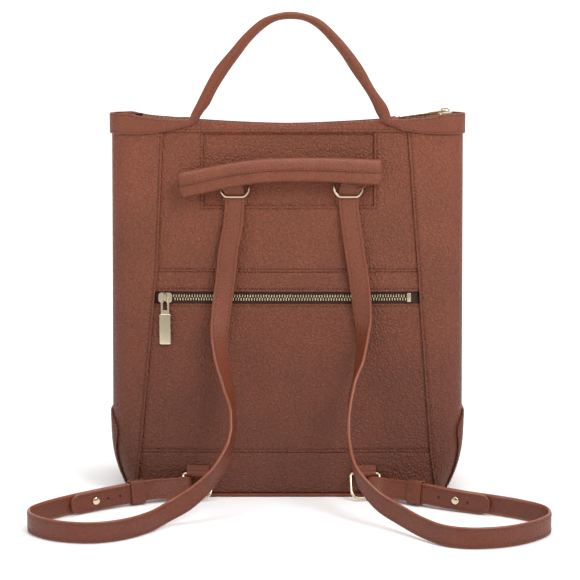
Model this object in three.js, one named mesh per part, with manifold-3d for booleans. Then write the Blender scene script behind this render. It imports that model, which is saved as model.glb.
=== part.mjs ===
// A convertible backpack in pebbled leather, standing by itself with its strap laid out on the floor.
// Millimetres. +Z is up, the strap side faces -Y, and the origin is the middle of the bottom face.

import * as THREE from 'three';
import { mergeVertices } from 'three/addons/utils/BufferGeometryUtils.js';
import Module from 'manifold-3d';

const wasm = await Module();
wasm.setup();

const { Vector3 } = THREE;
const { lerp, clamp, degToRad } = THREE.MathUtils;

// Sizes of the body, measured to the face of the centre panels
const bagHalfWidth = 166.2;
const baseHalfWidth = 147.5;
const flareHeight = 72;
const flarePower = 2.4;
const baseHalfDepth = 62;
const rimHalfDepth = 20;
const rimHeight = 351;
const cornerRise = 11;
const rimCurve = 1.6;
const cornerRadius = 18;
const sideFlat = 2;
const panelCrown = 3;

// Leather, and the room between pieces that touch
const gap = 0.3;
const panelThick = 1.7;
const sideThick = 1.5;
const bandThick = 1.2;
const seamLap = 6;
const sideGap = 0.36;
const outsideSide = sideGap + sideThick;

// Base
const baseThick = 3;
const pipingReach = 1.2;
const panelFoot = baseThick + gap;

// Seams and openings of the strap side, by height or distance from the middle
const upperSeam = 213;
const slotTop = 194.4;
const slotBottom = 183;
const baseSeam = 42;
const bandBottom = 0.98148 * rimHeight;
const windowLeft = -80;
const windowRight = 82;
const windowBottom = 0.78348 * rimHeight;
const windowTop = 0.97721 * rimHeight;
const windowLap = 8;

// Side seams of the centre panels: height as a share of rimHeight, distance as a share of bagHalfWidth
const seamRows = [
  { up: 0.017, left: 0.865, right: 0.849 },
  { up: 0.12, left: 0.841, right: 0.819 },
  { up: 0.53, left: 0.761, right: 0.755 },
  { up: 0.607, left: 0.743, right: 0.746 },
  { up: 0.977, left: 0.71, right: 0.686 },
];

// Corner patches: height as a share of patchHeight, edge in girth zones (1 to 2 is the round corner)
const patchHeight = 80;
const patchThick = 1.5;
const patchRows = [
  { up: 0.042, edge: 1.75 },
  { up: 0.12, edge: 1.74 },
  { up: 0.26, edge: 1.72 },
  { up: 0.38, edge: 1.69 },
  { up: 0.525, edge: 1.64 },
  { up: 0.64, edge: 1.56 },
  { up: 0.74, edge: 1.46 },
  { up: 0.85, edge: 1.52 },
  { up: 0.93, edge: 1.72 },
  { up: 1, edge: 1.98 },
];

// Handles: half span at the feet, rise above the rim's middle
const handleSpan = 95;
const handleRise = 106;
const wingThick = 1.8;
const wingAway = outsideSide + 1.5 * gap + wingThick / 2;
const archThick = 5.5;

// Zips
const toothHalf = 3.5;
const toothThick = 1.9;
const tapeThick = 0.8;
const tapeLap = 4;
const gussetThick = 1.5;
const gussetSink = 1.1;
const topTapeHalf = 12;
const topToothHalf = 3;
const topMouthHalf = 5.5;
const topZipHalf = bagHalfWidth - 6.2;

// Rings: centre line of the wire, hanging from the bar at the top
const wireRadius = 1.3;
const ringTopHalf = 13.8;
const ringArmHalf = 13.2;
const ringBarHalf = 9.2;
const ringArmDrop = 18.5;
const ringDrop = 24;
const ringBend = 2.4;

// Where the rings sit: x as a share of bagHalfWidth
const topRingLeft = -0.3;
const topRingRight = 0.346;
const lowRingLeft = -0.514;
const lowRingRight = 0.443;
const topRingHeight = 0.87464 * rimHeight;
const lowRingHeight = 22.6;
const lowRingLean = 13;

// Chapes, the leather tabs that hold the rings
const chapeThick = 1.5;
const chapeHalf = 11.6;
const chapeFrontLeg = 10;
const tabHalf = 10.4;

// Strap
const strapWidth = 19;
const strapThick = 3.2;
const strapEdge = 0.8;
const strapStep = 14;
const loopDepth = 160;

// Shoulder pad
const padThick = 11;
const padOverlap = 0.9;

// Keepers and studs
const keeperWidth = 14;
const keeperThick = 1.3;
const keeperRoom = 0.7;
const studRadius = 3.8;
const studRise = 1.7;

// Sliders and pullers
const sliderLength = 13;
const sliderWide = 9.4;
const sliderThick = 2.2;
const bridgeWide = 2.6;
const bridgeThick = 1.3;
const bridgeHalf = 3.3;
const bridgeRoom = 3.1;
const pullerLength = 45;
const pullerBarLength = 29.7;
const pullerBarHalf = 5.6;
const pullerBarThick = 2.6;
const bowHalf = 3.9;
const bowWire = 1.8;
const bowRoomLength = 11;
const pocketSlider = -0.697;
const topSliderRoom = 8.76;

const leather = new THREE.MeshStandardMaterial({ color: 0x7d4634, roughness: 0.62, metalness: 0 });
const paleGold = new THREE.MeshStandardMaterial({ color: 0xd8c3a0, roughness: 0.28, metalness: 1 });
const zipMetal = new THREE.MeshStandardMaterial({ color: 0xb7aa8c, roughness: 0.35, metalness: 1 });
const zipTape = new THREE.MeshStandardMaterial({ color: 0x2e1a12, roughness: 0.9, metalness: 0 });

const bag = new THREE.Group();

// Makes one closed mesh from points and faces, with its faces pointing out
function addSolid(name, material, points, faces) {
  let volume = 0;
  for (const [a, b, c] of faces) {
    volume += points[a].dot(new Vector3().crossVectors(points[b], points[c]));
  }
  const index = faces.flatMap(([a, b, c]) => (volume > 0 ? [a, b, c] : [a, c, b]));
  const geometry = new THREE.BufferGeometry().setFromPoints(points);
  geometry.setIndex(index);
  geometry.computeVertexNormals();
  return addMesh(name, material, geometry);
}

function addMesh(name, material, geometry) {
  const mesh = new THREE.Mesh(geometry, material);
  mesh.name = name;
  bag.add(mesh);
  return mesh;
}

// A wall over a grid of cells; place(column, row, face) gives a point, face 1 outside and 0 inside
function addWall(name, material, columns, rows, place, keep = () => true) {
  const points = [];
  const faces = [];
  const known = new Map();
  const lastColumn = columns.length - 1;
  const lastRow = rows.length - 1;
  const at = (i, j, face) => {
    const key = `${i} ${j} ${face}`;
    if (!known.has(key)) {
      known.set(key, points.length);
      points.push(place(columns[i], rows[j], face));
    }
    return known.get(key);
  };
  const kept = (i, j) => i >= 0 && j >= 0 && i < lastColumn && j < lastRow && keep(columns[i], rows[j]);
  const quad = (a, b, c, d) => faces.push([a, b, c], [a, c, d]);
  for (let i = 0; i < lastColumn; i += 1) {
    for (let j = 0; j < lastRow; j += 1) {
      if (!kept(i, j)) continue;
      quad(at(i, j, 1), at(i + 1, j, 1), at(i + 1, j + 1, 1), at(i, j + 1, 1));
      quad(at(i, j, 0), at(i, j + 1, 0), at(i + 1, j + 1, 0), at(i + 1, j, 0));
      const sides = [
        [i, j - 1, i, j, i + 1, j],
        [i + 1, j, i + 1, j, i + 1, j + 1],
        [i, j + 1, i + 1, j + 1, i, j + 1],
        [i - 1, j, i, j + 1, i, j],
      ];
      for (const [nextI, nextJ, i0, j0, i1, j1] of sides) {
        if (!kept(nextI, nextJ)) quad(at(i0, j0, 0), at(i1, j1, 0), at(i1, j1, 1), at(i0, j0, 1));
      }
    }
  }
  return addSolid(name, material, points, faces);
}

// A solid through a row of sections with the same number of points; closed ones meet end to end
function addLoft(name, material, sections, closed = false) {
  const points = sections.flat();
  const faces = [];
  const count = sections[0].length;
  const spans = closed ? sections.length : sections.length - 1;
  for (let s = 0; s < spans; s += 1) {
    const here = s * count;
    const next = ((s + 1) % sections.length) * count;
    for (let k = 0; k < count; k += 1) {
      const other = (k + 1) % count;
      faces.push([here + k, here + other, next + other], [here + k, next + other, next + k]);
    }
  }
  if (!closed) {
    for (const [section, start, turn] of [[sections[0], 0, false], [sections.at(-1), spans * count, true]]) {
      const middle = points.length;
      points.push(section.reduce((sum, p) => sum.add(p), new Vector3()).divideScalar(count));
      for (let k = 0; k < count; k += 1) {
        const a = start + k;
        const b = start + (k + 1) % count;
        faces.push(turn ? [middle, a, b] : [middle, b, a]);
      }
    }
  }
  return addSolid(name, material, points, faces);
}

// Straight-line reading of a table whose rows rise along one column
function readTable(rows, key, column, value) {
  const last = rows.length - 1;
  if (value <= rows[0][key]) return rows[0][column];
  if (value >= rows[last][key]) return rows[last][column];
  const next = rows.findIndex((row) => row[key] > value);
  const [a, b] = [rows[next - 1], rows[next]];
  return lerp(a[column], b[column], (value - a[key]) / (b[key] - a[key]));
}

function steps(from, to, count) {
  return Array.from({ length: count + 1 }, (_, i) => lerp(from, to, i / count));
}

// Shape of the body: a rounded oblong at each height, leaning in to a narrow top
function halfWidthAt(z) {
  const low = Math.max(0, 1 - z / flareHeight);
  return bagHalfWidth - (bagHalfWidth - baseHalfWidth) * low ** flarePower;
}

function halfDepthAt(z) {
  return lerp(baseHalfDepth, rimHalfDepth, clamp(z / rimHeight, 0, 1));
}

function crownAt(z) {
  return panelCrown * Math.sin(Math.PI * clamp(z / rimHeight, 0, 1));
}

function rimAt(x) {
  return rimHeight + cornerRise * Math.min(1, Math.abs(x) / bagHalfWidth) ** rimCurve;
}

function cornerAt(z) {
  const round = Math.min(cornerRadius, halfDepthAt(z) - sideFlat);
  return { round, middleX: halfWidthAt(z) - round, middleY: halfDepthAt(z) - round };
}

// Girth zones: 0 to 1 strap side, 1 to 2 round corner, 2 to 3 side, 3 to 4 round corner, 4 to 5 front
function skinByZone(zone, z, away, side) {
  const { round, middleX, middleY } = cornerAt(z);
  const reach = round + away;
  const quarter = Math.PI / 2;
  let x = middleX + reach;
  let y = lerp(-middleY, middleY, zone - 2);
  if (zone < 1) {
    x = zone * middleX;
    y = -middleY - reach - crownAt(z) * (1 - zone * zone);
  } else if (zone < 2) {
    x = middleX + reach * Math.sin((zone - 1) * quarter);
    y = -middleY - reach * Math.cos((zone - 1) * quarter);
  } else if (zone > 4) {
    x = (5 - zone) * middleX;
    y = middleY + reach + crownAt(z) * (1 - (5 - zone) ** 2);
  } else if (zone > 3) {
    x = middleX + reach * Math.cos((zone - 3) * quarter);
    y = middleY + reach * Math.sin((zone - 3) * quarter);
  }
  return new Vector3(side * x, y, z);
}

// The zone that a point lies in, by its distance from the middle along the strap side and round the corner
function zoneOfLength(length, z) {
  const { round, middleX } = cornerAt(z);
  return length < middleX ? length / middleX : 1 + (length - middleX) / (round * Math.PI / 2);
}

function lengthOfX(x, z) {
  const { round, middleX } = cornerAt(z);
  return x < middleX ? x : middleX + round * Math.asin(Math.min(1, (x - middleX) / round));
}

// A point by its signed distance from the middle, on the strap side (face -1) or the front (face 1)
function skin(length, z, away, face = -1) {
  const point = skinByZone(zoneOfLength(Math.abs(length), z), z, away, Math.sign(length) || 1);
  if (face > 0) point.y = -point.y;
  return point;
}

function seamLength(side, z) {
  const column = side < 0 ? 'left' : 'right';
  return lengthOfX(bagHalfWidth * readTable(seamRows, 'up', column, z / rimHeight), z);
}

// Columns of a centre panel: -2 and 2 are its ends under the side panels, -1 and 1 the window's sides
const panelColumns = [...steps(-2, -1, 2), ...steps(-1, 1, 8).slice(1), ...steps(1, 2, 2).slice(1)];

function panelLength(column, z, ends) {
  if (Math.abs(column) <= 1) return lerp(windowLeft, windowRight, (column + 1) / 2);
  const side = Math.sign(column);
  const end = side * (seamLength(side, z) + ends);
  return lerp(side < 0 ? windowLeft : windowRight, end, Math.abs(column) - 1);
}

const rimRow = Infinity;

function heightOf(row, x) {
  return row === rimRow ? rimAt(x) - gap : row;
}

function addCentrePanel(name, rows, face, keep) {
  const place = (column, row, outside) => {
    const z = heightOf(row, panelLength(column, Math.min(row, rimHeight), 0));
    return skin(panelLength(column, z, seamLap), z, outside ? 0 : -panelThick, face);
  };
  return addWall(name, leather, panelColumns, rows, place, keep);
}

// Strap side, from the rim down
const seamGap = gap / 2;
const footRows = patchRows.slice(1).map((row) => row.up * patchHeight);
const wallRows = [0.3704, 0.5413, 0.7123, 0.8832].map((share) => share * rimHeight);
const windowMiddle = wallRows.at(-1);
const stripRows = [panelFoot, ...footRows.filter((z) => z < baseSeam - 1), baseSeam - seamGap];
const frontRows = [baseSeam + seamGap, ...footRows.filter((z) => z > baseSeam + 1), ...wallRows,
  bandBottom, rimRow];
const upperRows = [upperSeam + seamGap, (upperSeam + windowBottom) / 2, windowBottom, windowMiddle,
  windowTop, rimRow];
const inWindow = (column, row) => column >= -1 && column < 1 && row >= windowBottom && row < windowTop;
addCentrePanel('back_upper_panel', upperRows, -1, (column, row) => !inWindow(column, row));
addCentrePanel('back_zip_band', [slotTop, upperSeam - seamGap], -1);
addCentrePanel('back_lower_panel', steps(baseSeam + seamGap, slotBottom, 4), -1);
addCentrePanel('back_base_strip', stripRows, -1);

// Front, plain but for the same base seam
addCentrePanel('front_centre_panel', frontRows, 1);
addCentrePanel('front_base_strip', stripRows, 1);

// Panel that shows in the window, behind the upper panel
addWall(
  'back_window_panel', leather, steps(windowLeft - windowLap, windowRight + windowLap, 6),
  [windowBottom - windowLap, windowMiddle, windowTop + 2],
  (length, row, outside) => {
    const away = -panelThick - gap - (outside ? 0 : panelThick);
    return skin(length, row, away);
  },
);

// Side panels, lapped over the centre panels from the strap side round to the front
const sideRows = [panelFoot, ...footRows, ...wallRows, bandBottom, rimRow];
// Columns: 0 and 5 are the seams, 1 to 2 and 3 to 4 the round corners, 2 to 3 the flat side
const sideColumns = [0, ...steps(1, 2, 4), ...steps(3, 4, 4), 5];
const leastLap = 0.1;
for (const [word, side] of [['left', -1], ['right', 1]]) {
  addWall(`${word}_side_panel`, leather, sideColumns, sideRows, (column, row, outside) => {
    const height = Math.min(row, rimHeight);
    const start = zoneOfLength(seamLength(column < 2.5 ? side : -1, height), height);
    const bend = Math.max(1, start + leastLap);
    const near = Math.min(column, 5 - column);
    const zone = near < 1 ? lerp(start, bend, near) : lerp(bend, 2, near - 1);
    const z = heightOf(row, skinByZone(zone, height, 0, 1).x);
    return skinByZone(column < 2.5 ? zone : 5 - zone, z, outside ? outsideSide : sideGap, side);
  });
}

// Corner patches over the foot of each side panel
const patchColumns = [...steps(1, 2, 4), ...steps(3, 4, 4)];
for (const [word, side] of [['left', -1], ['right', 1]]) {
  addWall(`${word}_corner_patch`, leather, patchColumns, patchRows, (column, row, outside) => {
    const away = outsideSide + 1.5 * gap + (outside ? patchThick : 0);
    const zone = lerp(row.edge, 2, Math.min(column, 5 - column) - 1);
    return skinByZone(column < 2.5 ? zone : 5 - zone, row.up * patchHeight, away, side);
  });
}

// Base plate with its piped edge, the flat face that the bag stands on
function roundedOblong(halfX, halfY, round) {
  const shape = new THREE.Shape();
  shape.moveTo(-halfX + round, -halfY);
  shape.lineTo(halfX - round, -halfY);
  shape.absarc(halfX - round, -halfY + round, round, -Math.PI / 2, 0);
  shape.lineTo(halfX, halfY - round);
  shape.absarc(halfX - round, halfY - round, round, 0, Math.PI / 2);
  shape.lineTo(-halfX + round, halfY);
  shape.absarc(-halfX + round, halfY - round, round, Math.PI / 2, Math.PI);
  shape.lineTo(-halfX, -halfY + round);
  shape.absarc(-halfX + round, -halfY + round, round, Math.PI, Math.PI * 1.5);
  return shape;
}

const baseReach = outsideSide + pipingReach;
const baseShape = roundedOblong(
  baseHalfWidth + baseReach, baseHalfDepth + baseReach, cornerRadius + baseReach,
);
addMesh('base_panel', leather, new THREE.ExtrudeGeometry(
  baseShape, { depth: baseThick, bevelEnabled: false, curveSegments: 5 },
));

// Bands along the rim between the side panels, on the strap side and the front
for (const [word, face] of [['back', -1], ['front', 1]]) {
  addWall(`${word}_centre_band`, leather, steps(-1, 1, 12), [bandBottom, rimRow], (share, row, outside) => {
    const side = Math.sign(share) || 1;
    const seam = face < 0 ? seamLength(side, bandBottom) : seamLength(-1, bandBottom);
    const length = share * (seam - gap);
    return skin(length, row === rimRow ? rimAt(length) : row, gap + (outside ? bandThick : 0), face);
  });
}

// Handles. Wings: girth zone or share of handleSpan, and the lower edge as a share of handleRise
const wingZones = [2.45, 2.05, 1.85, 1.65, 1.45, 1.25, 1.05];
const wingRows = [
  { reach: 1.42, low: -0.08 },
  { reach: 1.24, low: -0.061 },
  { reach: 1.12, low: -0.04 },
];
// Arch from one foot to the other: edges as shares of handleSpan and handleRise
const archRows = [
  { outX: -1.06, outUp: 0.052, inX: -1.03, inUp: -0.019, thick: 0.33 },
  { outX: -1.0, outUp: 0.05, inX: -0.965, inUp: -0.004, thick: 0.35 },
  { outX: -0.982, outUp: 0.052, inX: -0.915, inUp: 0.02, thick: 0.4 },
  { outX: -0.972, outUp: 0.066, inX: -0.888, inUp: 0.056, thick: 0.5 },
  { outX: -0.948, outUp: 0.12, inX: -0.85, inUp: 0.105, thick: 0.7 },
  { outX: -0.905, outUp: 0.189, inX: -0.795, inUp: 0.165, thick: 0.9 },
  { outX: -0.832, outUp: 0.321, inX: -0.726, inUp: 0.288, thick: 1 },
  { outX: -0.716, outUp: 0.505, inX: -0.605, inUp: 0.458, thick: 1 },
  { outX: -0.568, outUp: 0.66, inX: -0.484, inUp: 0.604, thick: 1 },
  { outX: -0.442, outUp: 0.792, inX: -0.368, inUp: 0.739, thick: 1 },
  { outX: -0.274, outUp: 0.925, inX: -0.234, inUp: 0.853, thick: 1 },
  { outX: -0.126, outUp: 0.979, inX: -0.111, inUp: 0.918, thick: 1 },
  { outX: 0.024, outUp: 1, inX: 0.024, inUp: 0.934, thick: 1 },
  { outX: 0.179, outUp: 0.981, inX: 0.168, inUp: 0.92, thick: 1 },
  { outX: 0.337, outUp: 0.925, inX: 0.3, inUp: 0.854, thick: 1 },
  { outX: 0.499, outUp: 0.792, inX: 0.426, inUp: 0.739, thick: 1 },
  { outX: 0.628, outUp: 0.66, inX: 0.547, inUp: 0.608, thick: 1 },
  { outX: 0.754, outUp: 0.505, inX: 0.653, inUp: 0.462, thick: 1 },
  { outX: 0.868, outUp: 0.321, inX: 0.795, inUp: 0.283, thick: 1 },
  { outX: 0.979, outUp: 0.189, inX: 0.866, inUp: 0.17, thick: 0.9 },
  { outX: 1.013, outUp: 0.12, inX: 0.9, inUp: 0.1, thick: 0.7 },
  { outX: 1.03, outUp: 0.07, inX: 0.925, inUp: 0.06, thick: 0.5 },
  { outX: 1.04, outUp: 0.056, inX: 0.955, inUp: 0.022, thick: 0.4 },
  { outX: 1.06, outUp: 0.055, inX: 1.01, inUp: -0.003, thick: 0.35 },
  { outX: 1.1, outUp: 0.06, inX: 1.08, inUp: -0.017, thick: 0.33 },
];

const stripBevel = 0.3;

// A flat strip's section: two edges, the way out of the panel, and a thickness
function stripSection(outer, inner, outward, thick) {
  const across = new Vector3().subVectors(inner, outer);
  const bevel = stripBevel * Math.min(thick, across.length());
  const inset = across.clone().setLength(bevel);
  const half = outward.clone().multiplyScalar(thick / 2);
  const low = outward.clone().multiplyScalar(thick / 2 - bevel);
  return [
    outer.clone().add(low),
    outer.clone().add(inset).add(half),
    inner.clone().sub(inset).add(half),
    inner.clone().add(low),
    inner.clone().sub(low),
    inner.clone().sub(inset).sub(half),
    outer.clone().add(inset).sub(half),
    outer.clone().sub(low),
  ];
}

function handleSections(face) {
  const outwardAt = (low, high) => new Vector3().subVectors(high, low).setZ(0).normalize();
  const wing = (side) => [
    ...wingZones.map((zone) => ({ top: rimAt(bagHalfWidth), low: wingRows[0].low, zone })),
    ...wingRows.map((row) => ({
      top: rimAt(row.reach * handleSpan),
      low: row.low,
      zone: zoneOfLength(row.reach * handleSpan, rimHeight),
    })),
  ].map(({ top, low, zone }) => {
    const spot = (z, away) => {
      const point = skinByZone(zone, z, away, side);
      if (face > 0) point.y = -point.y;
      return point;
    };
    const lowHeight = rimHeight + low * handleRise;
    const outward = outwardAt(spot(lowHeight, 0), spot(lowHeight, 1));
    return stripSection(spot(top, wingAway), spot(lowHeight, wingAway), outward, wingThick);
  });
  const arch = archRows.map((row) => {
    const edge = (x, up) => skin(x * handleSpan, rimHeight + up * handleRise, wingAway, face);
    return stripSection(edge(row.outX, row.outUp), edge(row.inX, row.inUp), new Vector3(0, face, 0),
      row.thick * archThick);
  });
  return [...wing(-1), ...arch, ...wing(1).reverse()];
}

addLoft('back_handle', leather, handleSections(-1));
addLoft('front_handle', leather, handleSections(1));

// Top of the bag: two gussets, and the zip between them
const gussetTop = -gussetSink;
const tapeTop = gussetTop - gussetThick - gap;
const gussetAway = -panelThick - gap;
const gussetEnd = bagHalfWidth - 3.2;
const gussetShares = [0, 0.3125, 0.625, 0.8125, 0.9375, 1];
const gussetColumns = [...gussetShares.map((share) => share * topZipHalf), topZipHalf + 1, gussetEnd];
for (const [word, face] of [['back', -1], ['front', 1]]) {
  const columns = [...gussetColumns.slice(1).map((x) => -x).reverse(), ...gussetColumns];
  addWall(`${word}_top_gusset`, leather, columns, [0, 1], (column, row, outside) => {
    const { round, middleX, middleY } = cornerAt(rimHeight);
    const reach = round + gussetAway;
    const x = Math.abs(column);
    const wall = middleY + Math.sqrt(Math.max(0, reach ** 2 - Math.max(0, x - middleX) ** 2));
    const mouth = x > topZipHalf ? seamGap : topMouthHalf;
    const y = face * (row ? wall : mouth);
    return new Vector3(column, y, rimAt(x) + gussetTop - (outside ? 0 : gussetThick));
  });
}

const topZipEnd = topZipHalf - gap;
addWall('top_zip_tape', zipTape, steps(-topZipEnd, topZipEnd, 12), [-topTapeHalf, topTapeHalf],
  (x, y, outside) => new Vector3(x, y, rimAt(x) + tapeTop - (outside ? 0 : tapeThick)));
const toothFoot = tapeTop + gap;
const topSliderX = topZipHalf - topSliderRoom;
const zipEndLength = 7;
const zipEndHalf = 4.6;
const zipEndX = -0.8875 * topZipHalf;
const topTeethStart = zipEndX + zipEndLength / 2 + gap;
const topTeethStop = topSliderX - sliderLength / 2 - gap;
addWall('top_zip_teeth', zipMetal, steps(topTeethStart, topTeethStop, 12), [-topToothHalf, topToothHalf],
  (x, y, outside) => new Vector3(x, y, rimAt(x) + toothFoot + (outside ? toothThick : 0)));

function toManifold(geometry) {
  const bare = geometry.clone();
  bare.deleteAttribute('normal');
  bare.deleteAttribute('uv');
  const merged = mergeVertices(bare, 1e-4);
  return new wasm.Manifold(new wasm.Mesh({
    numProp: 3,
    vertProperties: new Float32Array(merged.attributes.position.array),
    triVerts: new Uint32Array(merged.index.array),
  }));
}

function joined(parts) {
  const [first, ...rest] = parts.map(toManifold);
  const mesh = rest.reduce((sum, part) => sum.add(part), first).getMesh();
  const geometry = new THREE.BufferGeometry();
  geometry.setAttribute('position', new THREE.BufferAttribute(mesh.vertProperties, 3));
  geometry.setIndex(new THREE.BufferAttribute(mesh.triVerts, 1));
  geometry.computeVertexNormals();
  return geometry;
}

// Zip end, a small block over the ends of the tape
const zipEndHeight = 4.2;
const zipEnd = new THREE.ExtrudeGeometry(roundedOblong(zipEndLength / 2, zipEndHalf, 1.6),
  { depth: zipEndHeight, bevelEnabled: false, curveSegments: 2 });
addMesh('top_zip_end', zipMetal, zipEnd).position.set(zipEndX, 0, rimAt(zipEndX) + toothFoot + gap);

// Pocket zip behind its slot
const pocketAway = -panelThick - gap;
const slotMiddle = (slotTop + slotBottom) / 2;
addWall('pocket_zip_tape', zipTape, panelColumns, [slotBottom - tapeLap, slotTop + tapeLap],
  (column, z, outside) => skin(panelLength(column, z, -2 * gap), z, pocketAway - (outside ? 0 : tapeThick)));
const pocketSliderX = pocketSlider * bagHalfWidth;
const pocketStopLength = 4;
const pocketStopX = seamLength(1, slotMiddle) - 2.5 * pocketStopLength;
addWall('pocket_zip_teeth', zipMetal, steps(0, 1, 12), [slotMiddle - toothHalf, slotMiddle + toothHalf],
  (share, z, outside) => {
    const start = pocketSliderX + sliderLength / 2 + gap;
    const length = lerp(start, pocketStopX - pocketStopLength / 2 - gap, share);
    return skin(length, z, pocketAway + gap + (outside ? toothThick : 0));
  });

// A frame on the strap side at a given place: x across, y up the panel, z out of it
function panelFrame(x, z, away) {
  const at = skin(x, z, away);
  const across = new Vector3().subVectors(skin(x + 1, z, away), skin(x - 1, z, away)).normalize();
  const up = new Vector3().subVectors(skin(x, z + 1, away), skin(x, z - 1, away)).normalize();
  const out = new Vector3().crossVectors(across, up).normalize();
  up.crossVectors(out, across);
  return new THREE.Matrix4().makeBasis(across, up, out).setPosition(at);
}

function onPanel(x, z, away) {
  return new Vector3(0, 0, away).applyMatrix4(panelFrame(x, z, 0));
}

function placed(geometry, matrix) {
  return geometry.clone().applyMatrix4(matrix);
}

const pocketFrame = panelFrame(pocketSliderX, slotMiddle, pocketAway + gap);
const pocketStop = new THREE.ExtrudeGeometry(roundedOblong(pocketStopLength / 2, toothHalf + 0.7, 1),
  { depth: toothThick + 0.6, bevelEnabled: false, curveSegments: 2 });
addMesh('pocket_zip_stop', zipMetal,
  placed(pocketStop, panelFrame(pocketStopX, slotMiddle, pocketAway + gap)));

// Slider: a plate over the teeth, and along y a bridge that holds the puller's bow; z points out
function sliderGeometry(lift, halfX, halfY) {
  const plate = new THREE.ExtrudeGeometry(roundedOblong(halfX, halfY, 3),
    { depth: lift, bevelEnabled: false, curveSegments: 3 });
  const side = new THREE.Shape();
  const reach = bridgeHalf + bridgeThick;
  const crown = bridgeRoom + bridgeThick;
  side.moveTo(-reach, -lift / 2);
  side.lineTo(-bridgeHalf, -lift / 2);
  side.lineTo(-bridgeHalf, bridgeRoom * 0.6);
  side.lineTo(-bridgeHalf * 0.65, bridgeRoom);
  side.lineTo(bridgeHalf * 0.65, bridgeRoom);
  side.lineTo(bridgeHalf, bridgeRoom * 0.6);
  side.lineTo(bridgeHalf, -lift / 2);
  side.lineTo(reach, -lift / 2);
  side.lineTo(reach, bridgeRoom * 0.7);
  side.lineTo(reach * 0.65, crown);
  side.lineTo(-reach * 0.65, crown);
  side.lineTo(-reach, bridgeRoom * 0.7);
  side.closePath();
  const bridge = new THREE.ExtrudeGeometry(side, { depth: bridgeWide, bevelEnabled: false });
  bridge.translate(0, 0, -bridgeWide / 2);
  bridge.rotateX(Math.PI / 2);
  bridge.rotateZ(Math.PI / 2);
  bridge.translate(0, 0, lift);
  return joined([plate, bridge]);
}

// Puller: a bow round the bridge and a flat bar, hanging along -y from its hinge at the origin
function pullerGeometry() {
  const bow = new THREE.Shape();
  const bowEnd = -(pullerLength - pullerBarLength) - 1;
  const round = bowHalf * 0.8;
  bow.moveTo(-bowHalf, bowEnd);
  bow.lineTo(bowHalf, bowEnd);
  bow.lineTo(bowHalf, bowWire / 2 - round);
  bow.absarc(bowHalf - round, bowWire / 2 - round, round, 0, Math.PI / 2);
  bow.lineTo(-bowHalf + round, bowWire / 2);
  bow.absarc(-bowHalf + round, bowWire / 2 - round, round, Math.PI / 2, Math.PI);
  bow.closePath();
  const room = new THREE.Path();
  const roomHalf = bowHalf - bowWire;
  room.moveTo(-roomHalf, -bowWire / 2);
  room.lineTo(-roomHalf, -bowWire / 2 - bowRoomLength);
  room.lineTo(roomHalf, -bowWire / 2 - bowRoomLength);
  room.lineTo(roomHalf, -bowWire / 2);
  room.closePath();
  bow.holes.push(room);
  const loop = new THREE.ExtrudeGeometry(bow, { depth: bowWire, bevelEnabled: false, curveSegments: 3 });
  loop.translate(0, 0, -bowWire / 2);
  const bevel = 0.7;
  const bar = new THREE.ExtrudeGeometry(
    roundedOblong(pullerBarHalf - bevel, pullerBarLength / 2 - bevel, 1.2),
    {
      depth: pullerBarThick - 2 * bevel,
      bevelThickness: bevel,
      bevelSize: bevel,
      bevelSegments: 1,
      curveSegments: 2,
    },
  );
  bar.translate(0, -pullerLength + pullerBarLength / 2, -pullerBarThick / 2 + bevel);
  return joined([loop, bar]);
}

// Pocket slider and puller; the puller lies against the leather below
const pocketLift = toothThick + sliderThick;
const hingeLift = bridgeRoom / 2 + 0.1;
addMesh('pocket_slider', paleGold, placed(
  sliderGeometry(pocketLift, sliderLength / 2, sliderWide / 2), pocketFrame,
));
const pocketTilt = Math.asin(
  (pocketAway + gap + pocketLift + hingeLift - pullerBarThick / 2 - 2.2 * gap) / pullerLength,
);
const pocketPull = new THREE.Matrix4().makeTranslation(0, 0, pocketLift + hingeLift)
  .multiply(new THREE.Matrix4().makeRotationX(pocketTilt))
  .premultiply(pocketFrame);
addMesh('pocket_puller', paleGold, placed(pullerGeometry(), pocketPull));

// Top slider and puller; the puller lies along the zip towards the middle
const rimSlope = Math.atan2(rimAt(topSliderX + 1) - rimAt(topSliderX - 1), 2);
const topFrame = new THREE.Matrix4().makeRotationY(-rimSlope)
  .multiply(new THREE.Matrix4().makeRotationZ(-Math.PI / 2))
  .setPosition(topSliderX, 0, rimAt(topSliderX) + toothFoot);
addMesh('top_slider', paleGold, placed(
  sliderGeometry(pocketLift, sliderWide / 2, sliderLength / 2), topFrame,
));
const hingeAt = new Vector3(0, 0, pocketLift + hingeLift).applyMatrix4(topFrame);
const tipFloor = rimAt(hingeAt.x - pullerLength) + toothFoot + toothThick + 2 * gap;
const topTilt = Math.asin((hingeAt.z - pullerBarThick / 2 - tipFloor) / pullerLength) - rimSlope;
const topPull = new THREE.Matrix4().makeTranslation(0, 0, pocketLift + hingeLift)
  .multiply(new THREE.Matrix4().makeRotationX(topTilt))
  .premultiply(topFrame);
addMesh('top_puller', paleGold, placed(pullerGeometry(), topPull));

// Ring outline in its own plane: across and down from the top bar, with rounded bends
function ringPath() {
  const corners = [
    [-ringTopHalf, 0], [ringTopHalf, 0], [ringArmHalf, ringArmDrop], [ringBarHalf, ringDrop],
    [-ringBarHalf, ringDrop], [-ringArmHalf, ringArmDrop],
  ].map(([x, down]) => new THREE.Vector2(x, down));
  const path = [];
  corners.forEach((corner, i) => {
    const before = corners.at(i - 1).clone().sub(corner).setLength(ringBend).add(corner);
    const after = corners[(i + 1) % corners.length].clone().sub(corner).setLength(ringBend).add(corner);
    const middle = before.clone().add(after).multiplyScalar(0.25).addScaledVector(corner, 0.5);
    path.push(before, middle, after);
  });
  return path;
}

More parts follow.
